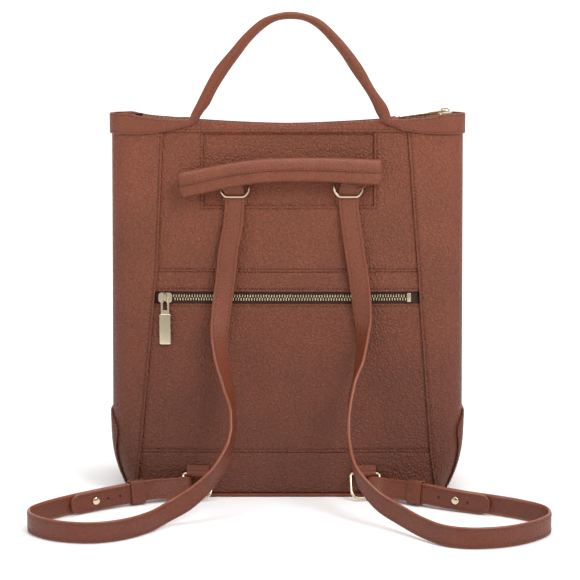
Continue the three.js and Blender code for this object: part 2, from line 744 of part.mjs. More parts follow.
// A section swept round a closed path; across and down are unit vectors in space
function sweepRound(path, origin, across, down, outline) {
  const normal = new Vector3().crossVectors(across, down);
  const spot = (p) => origin.clone().addScaledVector(across, p.x).addScaledVector(down, p.y);
  return path.map((point, i) => {
    const before = path.at(i - 1);
    const after = path[(i + 1) % path.length];
    const along = spot(after).sub(spot(before)).normalize();
    const side = new Vector3().crossVectors(along, normal);
    return outline.map(([a, b]) => spot(point).addScaledVector(side, a).addScaledVector(normal, b));
  });
}

const wireSides = 6;
const wireOutline = Array.from({ length: wireSides }, (_, k) => {
  const angle = (k + 0.5) * 2 * Math.PI / wireSides;
  return [wireRadius * Math.cos(angle), wireRadius * Math.sin(angle)];
});

// Depths in the window: chape on the panel, then the strap, then the ring's lower bar
const chapeAway = -panelThick;
const ringTopAway = chapeAway + chapeThick + gap + wireRadius;
const strapAway = chapeAway + chapeThick + 1.6 * gap + strapThick / 2;
const ringBarAway = strapAway + strapThick / 2 + 1.6 * gap + wireRadius;
const rollRadius = wireRadius + gap + chapeThick;
const alongX = new Vector3(1, 0, 0);

function addTopRing(word, share) {
  const x = share * bagHalfWidth;
  const hang = Math.sqrt(ringDrop ** 2 - (ringBarAway - ringTopAway) ** 2);
  const top = onPanel(x, topRingHeight, ringTopAway);
  const bottom = onPanel(x, topRingHeight - hang, ringBarAway);
  const down = new Vector3().subVectors(bottom, top).normalize();
  addLoft(`${word}_top_ring`, paleGold, sweepRound(ringPath(), top, alongX, down, wireOutline), true);
  addTopChape(word, x);
}

// A profile in a plane of the panel (out, up) spread along x between two halves
function addProfile(name, shape, x, z, half) {
  const geometry = new THREE.ExtrudeGeometry(
    shape, { depth: 2 * half, bevelEnabled: false, curveSegments: 4 },
  );
  geometry.translate(0, 0, -half);
  const frame = panelFrame(x, z, 0);
  const turn = new THREE.Matrix4().makeBasis(
    new Vector3(0, 0, 1), new Vector3(0, 1, 0), new Vector3(-1, 0, 0),
  );
  return addMesh(name, leather, placed(geometry, turn.premultiply(frame)));
}

function addTopChape(word, x) {
  const shape = new THREE.Shape();
  const foot = windowBottom + 1.3 * gap - topRingHeight;
  const innerRadius = wireRadius + gap;
  shape.moveTo(chapeAway, foot);
  shape.lineTo(chapeAway + chapeThick, foot);
  shape.lineTo(ringTopAway - innerRadius, 0);
  shape.absarc(ringTopAway, 0, innerRadius, Math.PI, 0, true);
  shape.lineTo(ringTopAway + innerRadius, -chapeFrontLeg);
  shape.lineTo(ringTopAway + rollRadius, -chapeFrontLeg);
  shape.lineTo(ringTopAway + rollRadius, 0);
  shape.absarc(ringTopAway, 0, rollRadius, 0, Math.PI);
  shape.closePath();
  addProfile(`${word}_top_chape`, shape, x, topRingHeight, chapeHalf);
}

addTopRing('left', topRingLeft);
addTopRing('right', topRingRight);

// Lower rings lean out of rolled tabs on the base strip
const lowRingAway = 6.4;
function lowRingPlace(share) {
  const top = onPanel(share * bagHalfWidth, lowRingHeight, lowRingAway);
  const drop = Math.sqrt(ringDrop ** 2 - lowRingLean ** 2);
  const down = new Vector3(0, -lowRingLean, -drop).normalize();
  return { top, down };
}

function addLowRing(word, share) {
  const { top, down } = lowRingPlace(share);
  addLoft(`${word}_low_ring`, paleGold, sweepRound(ringPath(), top, alongX, down, wireOutline), true);
  const shape = new THREE.Shape();
  const plateTop = 7.5;
  const plateFoot = -5.5;
  shape.moveTo(gap, plateFoot);
  shape.lineTo(gap + chapeThick, plateFoot);
  shape.lineTo(lowRingAway, -rollRadius);
  shape.absarc(lowRingAway, 0, rollRadius, -Math.PI / 2, Math.PI / 2);
  shape.lineTo(gap + chapeThick, plateTop);
  shape.lineTo(gap, plateTop);
  shape.closePath();
  const hole = new THREE.Path();
  hole.absarc(lowRingAway, 0, wireRadius + gap, 0, 2 * Math.PI, true);
  shape.holes.push(hole);
  addProfile(`${word}_low_chape`, shape, share * bagHalfWidth, lowRingHeight, tabHalf);
}

addLowRing('left', lowRingLeft);
addLowRing('right', lowRingRight);

// Shoulder pad: centre line and height, x as a share of bagHalfWidth and heights of rimHeight
const padAway = ringTopAway + rollRadius + 3 * gap + strapThick + gap;
const padRows = [
  { x: -0.612, up: 0.8405, tall: 0.0695 },
  { x: -0.5, up: 0.852, tall: 0.068 },
  { x: -0.36, up: 0.866, tall: 0.066 },
  { x: -0.18, up: 0.879, tall: 0.0645 },
  { x: 0.012, up: 0.8838, tall: 0.064 },
  { x: 0.2, up: 0.8835, tall: 0.0655 },
  { x: 0.38, up: 0.88, tall: 0.068 },
  { x: 0.536, up: 0.8765, tall: 0.0695 },
];

// Section of the pad as shares of its half height and its thickness; the upper half laps over the lower
function padOutline(half) {
  const round = 0.32;
  return [
    [-half * 0.8, 0], [-half * 0.97, round * padThick], [-half, 0.5 * padThick],
    [-half * 0.86, 0.84 * padThick], [-half * 0.45, padThick - padOverlap], [0, padThick - padOverlap],
    [0.02 * half, padThick], [half * 0.45, padThick], [half * 0.86, 0.84 * padThick],
    [half, 0.5 * padThick], [half * 0.97, round * padThick], [half * 0.8, 0],
  ];
}

const padLine = new THREE.CatmullRomCurve3(padRows.map((row) => new Vector3(
  row.x * bagHalfWidth, row.up * rimHeight, row.tall * rimHeight,
)));
addLoft('shoulder_pad', leather, steps(0, 1, 16).map((share) => {
  const here = padLine.getPoint(share);
  const ahead = padLine.getTangent(share);
  const slope = Math.atan2(ahead.y, ahead.x);
  return padOutline(here.z / 2).map(([up, out]) => skin(
    here.x - up * Math.sin(slope), here.y + up * Math.cos(slope), padAway + out,
  ));
}));

// Strap routes, from the pad's end to the tail's tip. Distance out from the middle is a share of
// bagHalfWidth, height a share of rimHeight, away from the panel a share of loopDepth. Twist is 0
// where the strap lies flat against the panel and 90 where it stands on edge; lean tips its top in.
const leftStrapRows = [
  { out: 0.31, up: 0.735, away: 0.026, twist: 0, lean: 0 },
  { out: 0.335, up: 0.67, away: 0.034, twist: 0, lean: 0 },
  { out: 0.353, up: 0.588, away: 0.044, twist: 6, lean: 0 },
  { out: 0.374, up: 0.513, away: 0.056, twist: 20, lean: 0 },
  { out: 0.387, up: 0.439, away: 0.075, twist: 35, lean: 0 },
  { out: 0.37, up: 0.37, away: 0.121, twist: 42, lean: 0 },
  { out: 0.329, up: 0.302, away: 0.191, twist: 51, lean: 0 },
  { out: 0.303, up: 0.236, away: 0.274, twist: 76, lean: 0 },
  { out: 0.322, up: 0.172, away: 0.357, twist: 101, lean: 0 },
  { out: 0.405, up: 0.11, away: 0.447, twist: 109, lean: 0 },
  { out: 0.525, up: 0.063, away: 0.523, twist: 99, lean: 0 },
  { out: 0.635, up: 0.0375, away: 0.578, twist: 91, lean: 0 },
  { out: 0.735, up: 0.0285, away: 0.72, twist: 90, lean: 0 },
  { out: 0.86, up: 0.028, away: 0.85, twist: 90, lean: 0 },
  { out: 1.0, up: 0.028, away: 0.91, twist: 90, lean: 0 },
  { out: 1.14, up: 0.028, away: 0.9, twist: 90, lean: 0 },
  { out: 1.27, up: 0.028, away: 0.84, twist: 90, lean: 0 },
  { out: 1.365, up: 0.028, away: 0.735, twist: 90, lean: 0 },
  { out: 1.383, up: 0.028, away: 0.635, twist: 90, lean: 0 },
  { out: 1.33, up: 0.028, away: 0.53, twist: 90, lean: 0 },
  { out: 1.22, up: 0.0285, away: 0.41, twist: 90, lean: 0 },
  { out: 1.08, up: 0.03, away: 0.3, twist: 90, lean: 0 },
  { out: 0.93, up: 0.0325, away: 0.205, twist: 90, lean: 3 },
  { out: 0.78, up: 0.034, away: 0.125, twist: 90, lean: 14 },
];
const rightStrapRows = [
  { out: 0.361, up: 0.735, away: 0.026, twist: 0, lean: 0 },
  { out: 0.381, up: 0.67, away: 0.034, twist: 0, lean: 0 },
  { out: 0.404, up: 0.6, away: 0.042, twist: 3, lean: 0 },
  { out: 0.424, up: 0.52, away: 0.053, twist: 25, lean: 0 },
  { out: 0.43, up: 0.45, away: 0.071, twist: 48, lean: 0 },
  { out: 0.406, up: 0.37, away: 0.121, twist: 54, lean: 0 },
  { out: 0.363, up: 0.302, away: 0.191, twist: 68, lean: 0 },
  { out: 0.343, up: 0.236, away: 0.274, twist: 87, lean: 0 },
  { out: 0.347, up: 0.172, away: 0.357, twist: 101, lean: 0 },
  { out: 0.388, up: 0.113, away: 0.473, twist: 107, lean: 0 },
  { out: 0.488, up: 0.067, away: 0.598, twist: 98, lean: 0 },
  { out: 0.6, up: 0.045, away: 0.71, twist: 91, lean: 0 },
  { out: 0.7, up: 0.0335, away: 0.84, twist: 90, lean: 0 },
  { out: 0.8, up: 0.0285, away: 0.95, twist: 90, lean: 0 },
  { out: 0.9, up: 0.028, away: 1, twist: 90, lean: 0 },
  { out: 1.02, up: 0.028, away: 1.005, twist: 90, lean: 0 },
  { out: 1.16, up: 0.028, away: 0.965, twist: 90, lean: 0 },
  { out: 1.3, up: 0.028, away: 0.87, twist: 90, lean: 0 },
  { out: 1.393, up: 0.028, away: 0.74, twist: 90, lean: 0 },
  { out: 1.388, up: 0.028, away: 0.6, twist: 90, lean: 0 },
  { out: 1.29, up: 0.028, away: 0.49, twist: 90, lean: 0 },
  { out: 1.16, up: 0.0285, away: 0.405, twist: 90, lean: 0 },
  { out: 1.01, up: 0.03, away: 0.335, twist: 90, lean: 0 },
  { out: 0.88, up: 0.0325, away: 0.27, twist: 90, lean: 3 },
  { out: 0.73, up: 0.034, away: 0.175, twist: 90, lean: 14 },
];

// How the strap leaves the ring and turns out behind the pad: offsets from the ring's middle in mm
const passRows = [
  { out: 33, up: 24.5, depth: 1 },
  { out: 24, up: 23.6, depth: 1 },
  { out: 14, up: 20.4, depth: 1 },
  { out: 7, up: 16, depth: 1 },
  { out: 3, up: 12.8, depth: 0.98 },
  { out: 0.7, up: 8, depth: 0.66 },
  { out: 0.1, up: 3.5, depth: 0.13 },
  { out: 0, up: 0, depth: 0 },
];
const passStart = { left: 2, right: 0 };
const tailGap = 0.4;
const armClear = wireRadius + gap + strapThick / 2 + 0.2;
const tailLength = { left: 104, right: 101 };
const foldReach = { left: 3, right: 6 };
const foldSteps = 6;

// Everything about a strap is worked out for the right-hand side; the left one is mirrored
function strapRoute(word) {
  const side = word === 'left' ? -1 : 1;
  const rows = word === 'left' ? leftStrapRows : rightStrapRows;
  const topRing = Math.abs(word === 'left' ? topRingLeft : topRingRight) * bagHalfWidth;
  const lowRing = Math.abs(word === 'left' ? lowRingLeft : lowRingRight) * bagHalfWidth;
  const behindPad = padAway - gap - strapThick / 2;
  const barHeight = topRingHeight - ringDrop;
  const route = [];
  for (const row of passRows.slice(passStart[word])) {
    const away = lerp(strapAway, behindPad, row.depth);
    const at = skin(topRing + row.out, barHeight + row.up, away);
    route.push({ at, twist: 0, lean: 0 });
  }
  for (const row of rows) {
    const z = row.up * rimHeight;
    const x = row.out * bagHalfWidth;
    const crown = crownAt(z) * Math.max(0, 1 - (x / cornerAt(z).middleX) ** 2);
    const y = -halfDepthAt(z) - crown - row.away * loopDepth;
    route.push({ at: new Vector3(x, y, z), twist: row.twist, lean: row.lean });
  }
  // Round the ring's outer arm, which the strap hugs, and back over itself
  const { top, down } = lowRingPlace(lowRing / bagHalfWidth);
  const armLean = Math.atan2(lowRingLean, Math.sqrt(ringDrop ** 2 - lowRingLean ** 2)) * 180 / Math.PI;
  const hug = rollRadius + 3 * gap + strapWidth / 2;
  const arm = top.clone().addScaledVector(down, hug).add(new Vector3(ringArmHalf, 0, 0));
  const inward = new Vector3(-1, 0.1, 0).normalize();
  const front = new Vector3().crossVectors(inward, down).normalize();
  const foldMiddle = arm.clone().addScaledVector(inward, foldReach[word]);
  route.push({ at: arm.clone().addScaledVector(front, -armClear), twist: 90, lean: armLean });
  for (let k = 0; k <= foldSteps; k += 1) {
    const angle = Math.PI * k / foldSteps;
    const at = foldMiddle.clone()
      .addScaledVector(front, -armClear * Math.cos(angle))
      .addScaledVector(inward, armClear * Math.sin(angle));
    route.push({ at, twist: 90, lean: armLean, fold: true });
  }
  route.push({ at: arm.clone().addScaledVector(front, armClear), twist: 90, lean: armLean });
  return { route, side, front, arm, word };
}

// Samples of a route: place, direction, and the strap's own width and face directions
function sampleRoute(route) {
  const places = new THREE.CatmullRomCurve3(route.map((r) => r.at), false, 'centripetal');
  const turns = new THREE.CatmullRomCurve3(route.map((r) => new Vector3(r.twist, r.lean, 0)));
  const frames = [];
  for (let i = 0; i < route.length - 1; i += 1) {
    const span = route[i].at.distanceTo(route[i + 1].at);
    const parts = Math.max(1, Math.round(span / strapStep));
    for (let k = 0; k < parts; k += 1) frames.push((i + k / parts) / (route.length - 1));
  }
  frames.push(1);
  return frames.map((share) => {
    const at = places.getPoint(share);
    const along = places.getTangent(share);
    const turn = turns.getPoint(share);
    return { at, along, ...strapAxes(along, degToRad(turn.x), degToRad(turn.y)) };
  });
}

const panelOut = new Vector3(0, -rimHeight, baseHalfDepth - rimHalfDepth).normalize();

function strapAxes(along, twist, lean) {
  const flat = panelOut.clone().cross(along).normalize();
  const upright = new Vector3(0, Math.sin(lean), Math.cos(lean));
  upright.addScaledVector(along, -upright.dot(along)).normalize();
  const width = Math.sin(twist) > 0.999
    ? upright
    : flat.multiplyScalar(Math.cos(twist)).addScaledVector(upright, Math.sin(twist)).normalize();
  return { width, face: new Vector3().crossVectors(along, width).normalize() };
}

const strapOutline = (() => {
  const w = strapWidth / 2;
  const t = strapThick / 2;
  return [
    [w, -t + strapEdge], [w, t - strapEdge], [w - strapEdge, t], [-w + strapEdge, t],
    [-w, t - strapEdge], [-w, -t + strapEdge], [-w + strapEdge, -t], [w - strapEdge, -t],
  ];
})();

function mirrored(point, side) {
  return new Vector3(side * point.x, point.y, point.z);
}

// The tail lies on the front of the strand that it came from, which it leaves only at the ring's arm
function tailFrames(frames, armIndex, length) {
  const close = strapThick + tailGap;
  const parting = 16;
  const tail = [];
  let run = 0;
  for (let i = armIndex - 1; i > 0 && run < length; i -= 1) {
    run += frames[i].at.distanceTo(frames[i + 1].at);
    const apart = close + (2 * armClear - close) * Math.max(0, 1 - run / parting) ** 2;
    const { at, along, width, face } = frames[i];
    tail.push({
      at: at.clone().addScaledVector(face, -apart),
      along: along.clone().negate(),
      width,
      face: face.clone().negate(),
      run,
    });
  }
  return tail;
}

function addStrap(word) {
  const { route, side } = strapRoute(word);
  const frames = sampleRoute(route);
  const armShare = route.findIndex((r) => r.fold) - 1;
  const armAt = route[armShare].at;
  const armIndex = frames.findIndex((f) => f.at.distanceTo(armAt) < 0.01);
  const tail = tailFrames(frames, armIndex, tailLength[word]);
  const tipRound = [0, 0.35, 0.6, 0.8];
  const sections = [...frames, ...tail].map(({ at, width, face }) => strapOutline.map(([a, b]) => mirrored(
    at.clone().addScaledVector(width, a).addScaledVector(face, b), side,
  )));
  // The tip narrows in steps to a rounded end
  const end = tail.at(-1);
  for (const share of tipRound.slice(1)) {
    const reach = share * strapWidth / 2;
    const half = Math.sqrt(Math.max(0.02, 1 - share * share));
    sections.push(strapOutline.map(([a, b]) => mirrored(
      end.at.clone().addScaledVector(end.along, reach).addScaledVector(end.width, a * half)
        .addScaledVector(end.face, b), side,
    )));
  }
  addLoft(`${word}_strap`, leather, sections);
  return { tail, side };
}

function frameAlong(tail, run) {
  return tail.reduce((best, f) => (Math.abs(f.run - run) < Math.abs(best.run - run) ? f : best));
}

// Keeper: a leather loop round the tail and the strand behind it
function addKeeper(word, strap, run) {
  const near = frameAlong(strap.tail, run);
  const halfWide = strapWidth / 2 + keeperRoom / 2 + keeperThick / 2;
  const halfDeep = strapThick + tailGap / 2 + keeperRoom + keeperThick / 2;
  const cut = 1.4;
  const path = [
    [halfWide - cut, -halfDeep], [halfWide, -halfDeep + cut], [halfWide, halfDeep - cut],
    [halfWide - cut, halfDeep], [-halfWide + cut, halfDeep], [-halfWide, halfDeep - cut],
    [-halfWide, -halfDeep + cut], [-halfWide + cut, -halfDeep],
  ].map(([a, b]) => new THREE.Vector2(a, b));
  const outline = [
    [keeperThick / 2, keeperWidth / 2], [-keeperThick / 2, keeperWidth / 2],
    [-keeperThick / 2, -keeperWidth / 2], [keeperThick / 2, -keeperWidth / 2],
  ];
  const origin = near.at.clone().addScaledVector(near.face, -(strapThick + tailGap) / 2);
  const sections = sweepRound(path, origin, near.width, near.face, outline);
  addLoft(`${word}_keeper`, leather, sections.map((s) => s.map((p) => mirrored(p, strap.side))), true);
}

// Stud: a low domed head on the tail's face
function addStud(word, strap, run) {
  const near = frameAlong(strap.tail, run);
  const profile = [[0, 0], [studRadius, 0], [studRadius, 0.5], [studRadius * 0.8, 1.2], [0, studRise]];
  const head = new THREE.LatheGeometry(profile.map(([r, h]) => new THREE.Vector2(r, h)), 10);
  const seat = near.at.clone().addScaledVector(near.face, strapThick / 2 + gap);
  const out = mirrored(near.face, strap.side).normalize();
  const turn = new THREE.Quaternion().setFromUnitVectors(new Vector3(0, 1, 0), out);
  head.applyQuaternion(turn);
  head.translate(...mirrored(seat, strap.side).toArray());
  addMesh(`${word}_stud`, paleGold, head);
}

const keeperRun = { left: 52, right: 42 };
const studRun = { left: 90, right: 80 };
for (const word of ['left', 'right']) {
  const strap = addStrap(word);
  addKeeper(word, strap, keeperRun[word]);
  addStud(word, strap, studRun[word]);
}

export default bag;
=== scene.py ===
import math
import bpy
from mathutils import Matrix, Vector


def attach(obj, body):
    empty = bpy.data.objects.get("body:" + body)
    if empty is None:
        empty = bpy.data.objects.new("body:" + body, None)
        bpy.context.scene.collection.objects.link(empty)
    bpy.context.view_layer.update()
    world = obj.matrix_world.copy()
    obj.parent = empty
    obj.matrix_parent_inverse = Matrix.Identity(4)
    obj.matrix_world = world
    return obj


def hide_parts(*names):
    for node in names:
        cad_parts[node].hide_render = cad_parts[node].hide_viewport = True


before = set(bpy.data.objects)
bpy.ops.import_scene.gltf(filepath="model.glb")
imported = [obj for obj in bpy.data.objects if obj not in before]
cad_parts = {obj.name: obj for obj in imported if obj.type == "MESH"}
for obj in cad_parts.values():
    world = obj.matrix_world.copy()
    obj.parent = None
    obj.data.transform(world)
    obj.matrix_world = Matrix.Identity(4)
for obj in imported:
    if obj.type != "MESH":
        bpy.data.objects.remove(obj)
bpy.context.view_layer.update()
print("stage: frame loaded")

# Sizes are in millimetres, meshes in metres; tables hold shares of the sizes, as in the part's source
mm = 0.001
body = dict(
    bagHalfWidth=166.2, baseHalfWidth=147.5, flareHeight=72, flarePower=2.4, baseHalfDepth=62,
    rimHalfDepth=20, rimHeight=351, cornerRise=11, rimCurve=1.6, cornerRadius=18, sideFlat=2,
    panelCrown=3, gap=0.3, panelThick=1.7, sideGap=0.36, sideThick=1.5, bandThick=1.2, seamLap=6,
    baseThick=3, upperSeam=213, slotTop=194.4, slotBottom=183, baseSeam=42, bandBottom=344.5,
    windowLeft=-80, windowRight=82, windowBottom=275, windowTop=343, windowLap=8, patchHeight=80,
    patchThick=1.5, handleSpan=95, handleRise=106, wingThick=1.8, archThick=5.5,
)
gap, panelThick, bandBottom = body["gap"], body["panelThick"], body["bandBottom"]
rimHeight, bagHalfWidth = body["rimHeight"], body["bagHalfWidth"]
windowLeft, windowRight = body["windowLeft"], body["windowRight"]
windowBottom, windowTop = body["windowBottom"], body["windowTop"]
slotBottom, slotTop = body["slotBottom"], body["slotTop"]
bothSides, bothFaces = (("left", -1), ("right", 1)), (("back", -1), ("front", 1))
outsideSide = body["sideGap"] + body["sideThick"]
wingAway = outsideSide + 1.5 * gap + body["wingThick"] / 2
panelFoot = body["baseThick"] + gap
seamRows = [
    (0.017, 0.865, 0.849), (0.12, 0.841, 0.819), (0.53, 0.761, 0.755), (0.607, 0.743, 0.746),
    (0.977, 0.71, 0.686),
]
# A patch's row: height, and where its edge lies round the body
patchRows = [
    (0.042, 1.75), (0.12, 1.74), (0.26, 1.72), (0.38, 1.69), (0.525, 1.64), (0.64, 1.56),
    (0.74, 1.46), (0.85, 1.52), (0.93, 1.72), (1, 1.98),
]
wingRows = [(1.42, -0.08), (1.24, -0.061), (1.12, -0.04)]
archRows = [
    (-1.06, 0.052, -1.03, -0.019, 0.33), (-1.0, 0.05, -0.965, -0.004, 0.35),
    (-0.982, 0.052, -0.915, 0.02, 0.4), (-0.972, 0.066, -0.888, 0.056, 0.5),
    (-0.948, 0.12, -0.85, 0.105, 0.7), (-0.905, 0.189, -0.795, 0.165, 0.9),
    (-0.832, 0.321, -0.726, 0.288, 1), (-0.716, 0.505, -0.605, 0.458, 1),
    (-0.568, 0.66, -0.484, 0.604, 1), (-0.442, 0.792, -0.368, 0.739, 1),
    (-0.274, 0.925, -0.234, 0.853, 1), (-0.126, 0.979, -0.111, 0.918, 1),
    (0.024, 1, 0.024, 0.934, 1), (0.179, 0.981, 0.168, 0.92, 1), (0.337, 0.925, 0.3, 0.854, 1),
    (0.499, 0.792, 0.426, 0.739, 1), (0.628, 0.66, 0.547, 0.608, 1),
    (0.754, 0.505, 0.653, 0.462, 1), (0.868, 0.321, 0.795, 0.283, 1),
    (0.979, 0.189, 0.866, 0.17, 0.9), (1.013, 0.12, 0.9, 0.1, 0.7), (1.03, 0.07, 0.925, 0.06, 0.5),
    (1.04, 0.056, 0.955, 0.022, 0.4), (1.06, 0.055, 1.01, -0.003, 0.35),
    (1.1, 0.06, 1.08, -0.017, 0.33),
]
padRows = [
    (-0.612, 0.8405, 0.0695), (-0.5, 0.852, 0.068), (-0.36, 0.866, 0.066), (-0.18, 0.879, 0.0645),
    (0.012, 0.8838, 0.064), (0.2, 0.8835, 0.0655), (0.38, 0.88, 0.068), (0.536, 0.8765, 0.0695),
]
# A strap's row: out, up and away as shares, then twist and lean where they aren't 90 and 0
leftStrapRows = [
    (0.31, 0.735, 0.026, 0, 0), (0.335, 0.67, 0.034, 0, 0), (0.353, 0.588, 0.044, 6, 0),
    (0.374, 0.513, 0.056, 20, 0), (0.387, 0.439, 0.075, 35, 0), (0.37, 0.37, 0.121, 42, 0),
    (0.329, 0.302, 0.191, 51, 0), (0.303, 0.236, 0.274, 76, 0), (0.322, 0.172, 0.357, 101, 0),
    (0.405, 0.11, 0.447, 109, 0), (0.525, 0.063, 0.523, 99, 0), (0.635, 0.0375, 0.578, 91, 0),
    (0.735, 0.0285, 0.72), (0.86, 0.028, 0.85), (1.0, 0.028, 0.91), (1.14, 0.028, 0.9),
    (1.27, 0.028, 0.84), (1.365, 0.028, 0.735), (1.383, 0.028, 0.635), (1.33, 0.028, 0.53),
    (1.22, 0.0285, 0.41), (1.08, 0.03, 0.3), (0.93, 0.0325, 0.205, 90, 3), (0.78, 0.034, 0.125, 90, 14),
]
rightStrapRows = [
    (0.361, 0.735, 0.026, 0, 0), (0.381, 0.67, 0.034, 0, 0), (0.404, 0.6, 0.042, 3, 0),
    (0.424, 0.52, 0.053, 25, 0), (0.43, 0.45, 0.071, 48, 0), (0.406, 0.37, 0.121, 54, 0),
    (0.363, 0.302, 0.191, 68, 0), (0.343, 0.236, 0.274, 87, 0), (0.347, 0.172, 0.357, 101, 0),
    (0.388, 0.113, 0.473, 107, 0), (0.488, 0.067, 0.598, 98, 0), (0.6, 0.045, 0.71, 91, 0),
    (0.7, 0.0335, 0.84), (0.8, 0.0285, 0.95), (0.9, 0.028, 1), (1.02, 0.028, 1.005),
    (1.16, 0.028, 0.965), (1.3, 0.028, 0.87), (1.393, 0.028, 0.74), (1.388, 0.028, 0.6),
    (1.29, 0.028, 0.49), (1.16, 0.0285, 0.405), (1.01, 0.03, 0.335), (0.88, 0.0325, 0.27, 90, 3),
    (0.73, 0.034, 0.175, 90, 14),
]
# Behind the pad: millimetres out and up from the ring's bar, then the share of the way to the pad
passRows = [
    (33, 24.5, 1), (24, 23.6, 1), (14, 20.4, 1), (7, 16, 1), (3, 12.8, 0.98), (0.7, 8, 0.66),
    (0.1, 3.5, 0.13), (0, 0, 0),
]


def lerp(a, b, share):
    return a + (b - a) * share


def clamp(value, low=0.0, high=1.0):
    return max(low, min(high, value))


def steps(low, high, count):
    return [lerp(low, high, i / count) for i in range(count + 1)]


def readTable(rows, column, value):
    if value <= rows[0][0]:
        return rows[0][column]
    for a, b in zip(rows, rows[1:]):
        if value <= b[0]:
            return lerp(a[column], b[column], (value - a[0]) / (b[0] - a[0]))
    return rows[-1][column]


def bell(value, middle, spread):
    return math.exp(-(((value - middle) / spread) ** 2))


# Shape of the body, as in the part's source
def halfWidthAt(z):
    low = max(0.0, 1 - z / body["flareHeight"])
    return bagHalfWidth - (bagHalfWidth - body["baseHalfWidth"]) * low ** body["flarePower"]


def halfDepthAt(z):
    return lerp(body["baseHalfDepth"], body["rimHalfDepth"], clamp(z / rimHeight))


def crownAt(z):
    return body["panelCrown"] * math.sin(math.pi * clamp(z / rimHeight))


def rimAt(x):
    share = min(1.0, abs(x) / bagHalfWidth)
    return rimHeight + body["cornerRise"] * share ** body["rimCurve"]


def cornerAt(z):
    round_ = min(body["cornerRadius"], halfDepthAt(z) - body["sideFlat"])
    return round_, halfWidthAt(z) - round_, halfDepthAt(z) - round_


def sagAt(x, z):
    # Soft unevenness of the leather, nothing at the foot, the rim and round the rings
    calm = clamp((z - 30) / 40) * clamp((330 - z) / 60)
    wave = math.sin(x / 39 + z / 57) * math.sin(z / 63 + 1.3) + 0.5 * math.sin(x / 21 - z / 44 + 0.6)
    return 0.55 * calm * wave


def skinByZone(zone, z, away, side):
    round_, middleX, middleY = cornerAt(z)
    quarter = math.pi / 2
    reach = round_ + away
    x, y = middleX + reach, lerp(-middleY, middleY, zone - 2)
    if zone < 1:
        reach += sagAt(side * zone * middleX, z) * (1 - zone ** 4)
        x, y = zone * middleX, -middleY - reach - crownAt(z) * (1 - zone * zone)
    elif zone < 2:
        x = middleX + reach * math.sin((zone - 1) * quarter)
        y = -middleY - reach * math.cos((zone - 1) * quarter)
    elif zone > 4:
        reach += sagAt(side * (5 - zone) * middleX, z) * (1 - (5 - zone) ** 4)
        x, y = (5 - zone) * middleX, middleY + reach + crownAt(z) * (1 - (5 - zone) ** 2)
    elif zone > 3:
        x = middleX + reach * math.cos((zone - 3) * quarter)
        y = middleY + reach * math.sin((zone - 3) * quarter)
    else:
        # The narrow sides fold in slightly between front and back
        x -= 1.6 * math.sin(math.pi * (zone - 2)) * clamp((z - 90) / 80) * clamp((335 - z) / 40)
    return Vector((side * x, y, z))


def zoneOfLength(length, z):
    round_, middleX, _ = cornerAt(z)
    return length / middleX if length < middleX else 1 + (length - middleX) / (round_ * math.pi / 2)


def lengthOfZone(zone, z):
    round_, middleX, _ = cornerAt(z)
    return zone * middleX if zone < 1 else middleX + (zone - 1) * round_ * math.pi / 2


def lengthOfX(x, z):
    round_, middleX, _ = cornerAt(z)
    return x if x < middleX else middleX + round_ * math.asin(min(1.0, (x - middleX) / round_))


def skin(length, z, away, face=-1):
    side = -1 if length < 0 else 1
    point = skinByZone(zoneOfLength(abs(length), z), z, away, side)
    if face > 0:
        point.y = -point.y
    return point


def seamLength(side, z):
    share = readTable(seamRows, 1 if side < 0 else 2, z / rimHeight)
    return lengthOfX(bagHalfWidth * share, z)


# Meshes
def newObject(name, data):
    piece = bpy.data.objects.new(name, data)
    bpy.context.scene.collection.objects.link(piece)
    return piece


def newPiece(name, points, faces, material, scale=mm):
    mesh = bpy.data.meshes.new(name)
    mesh.from_pydata([tuple(p * scale) for p in points], [], faces)
    mesh.update()
    mesh.materials.append(material)
    piece = newObject(name, mesh)
    mesh.shade_smooth()
    return piece


def turnOutward(points, faces):
    volume = 0.0
    for face in faces:
        a = points[face[0]]
        for b, c in zip(face[1:], face[2:]):
            volume += a.dot(points[b].cross(points[c]))
    return faces if volume > 0 else [tuple(reversed(face)) for face in faces]


def addBevel(piece, width, segments=3, angle=42):
    bevel = piece.modifiers.new("edge", "BEVEL")
    bevel.width = width * mm
    bevel.segments = segments
    bevel.limit_method = "ANGLE"
    bevel.angle_limit = math.radians(angle)
    return piece


def addSubdivision(piece, levels):
    fine = piece.modifiers.new("fine", "SUBSURF")
    fine.levels = fine.render_levels = levels
    return piece


def settle(piece, slotName, *nodes, onBody="bag"):
    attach(piece, onBody)
    if nodes:
        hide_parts(*nodes)
    return piece


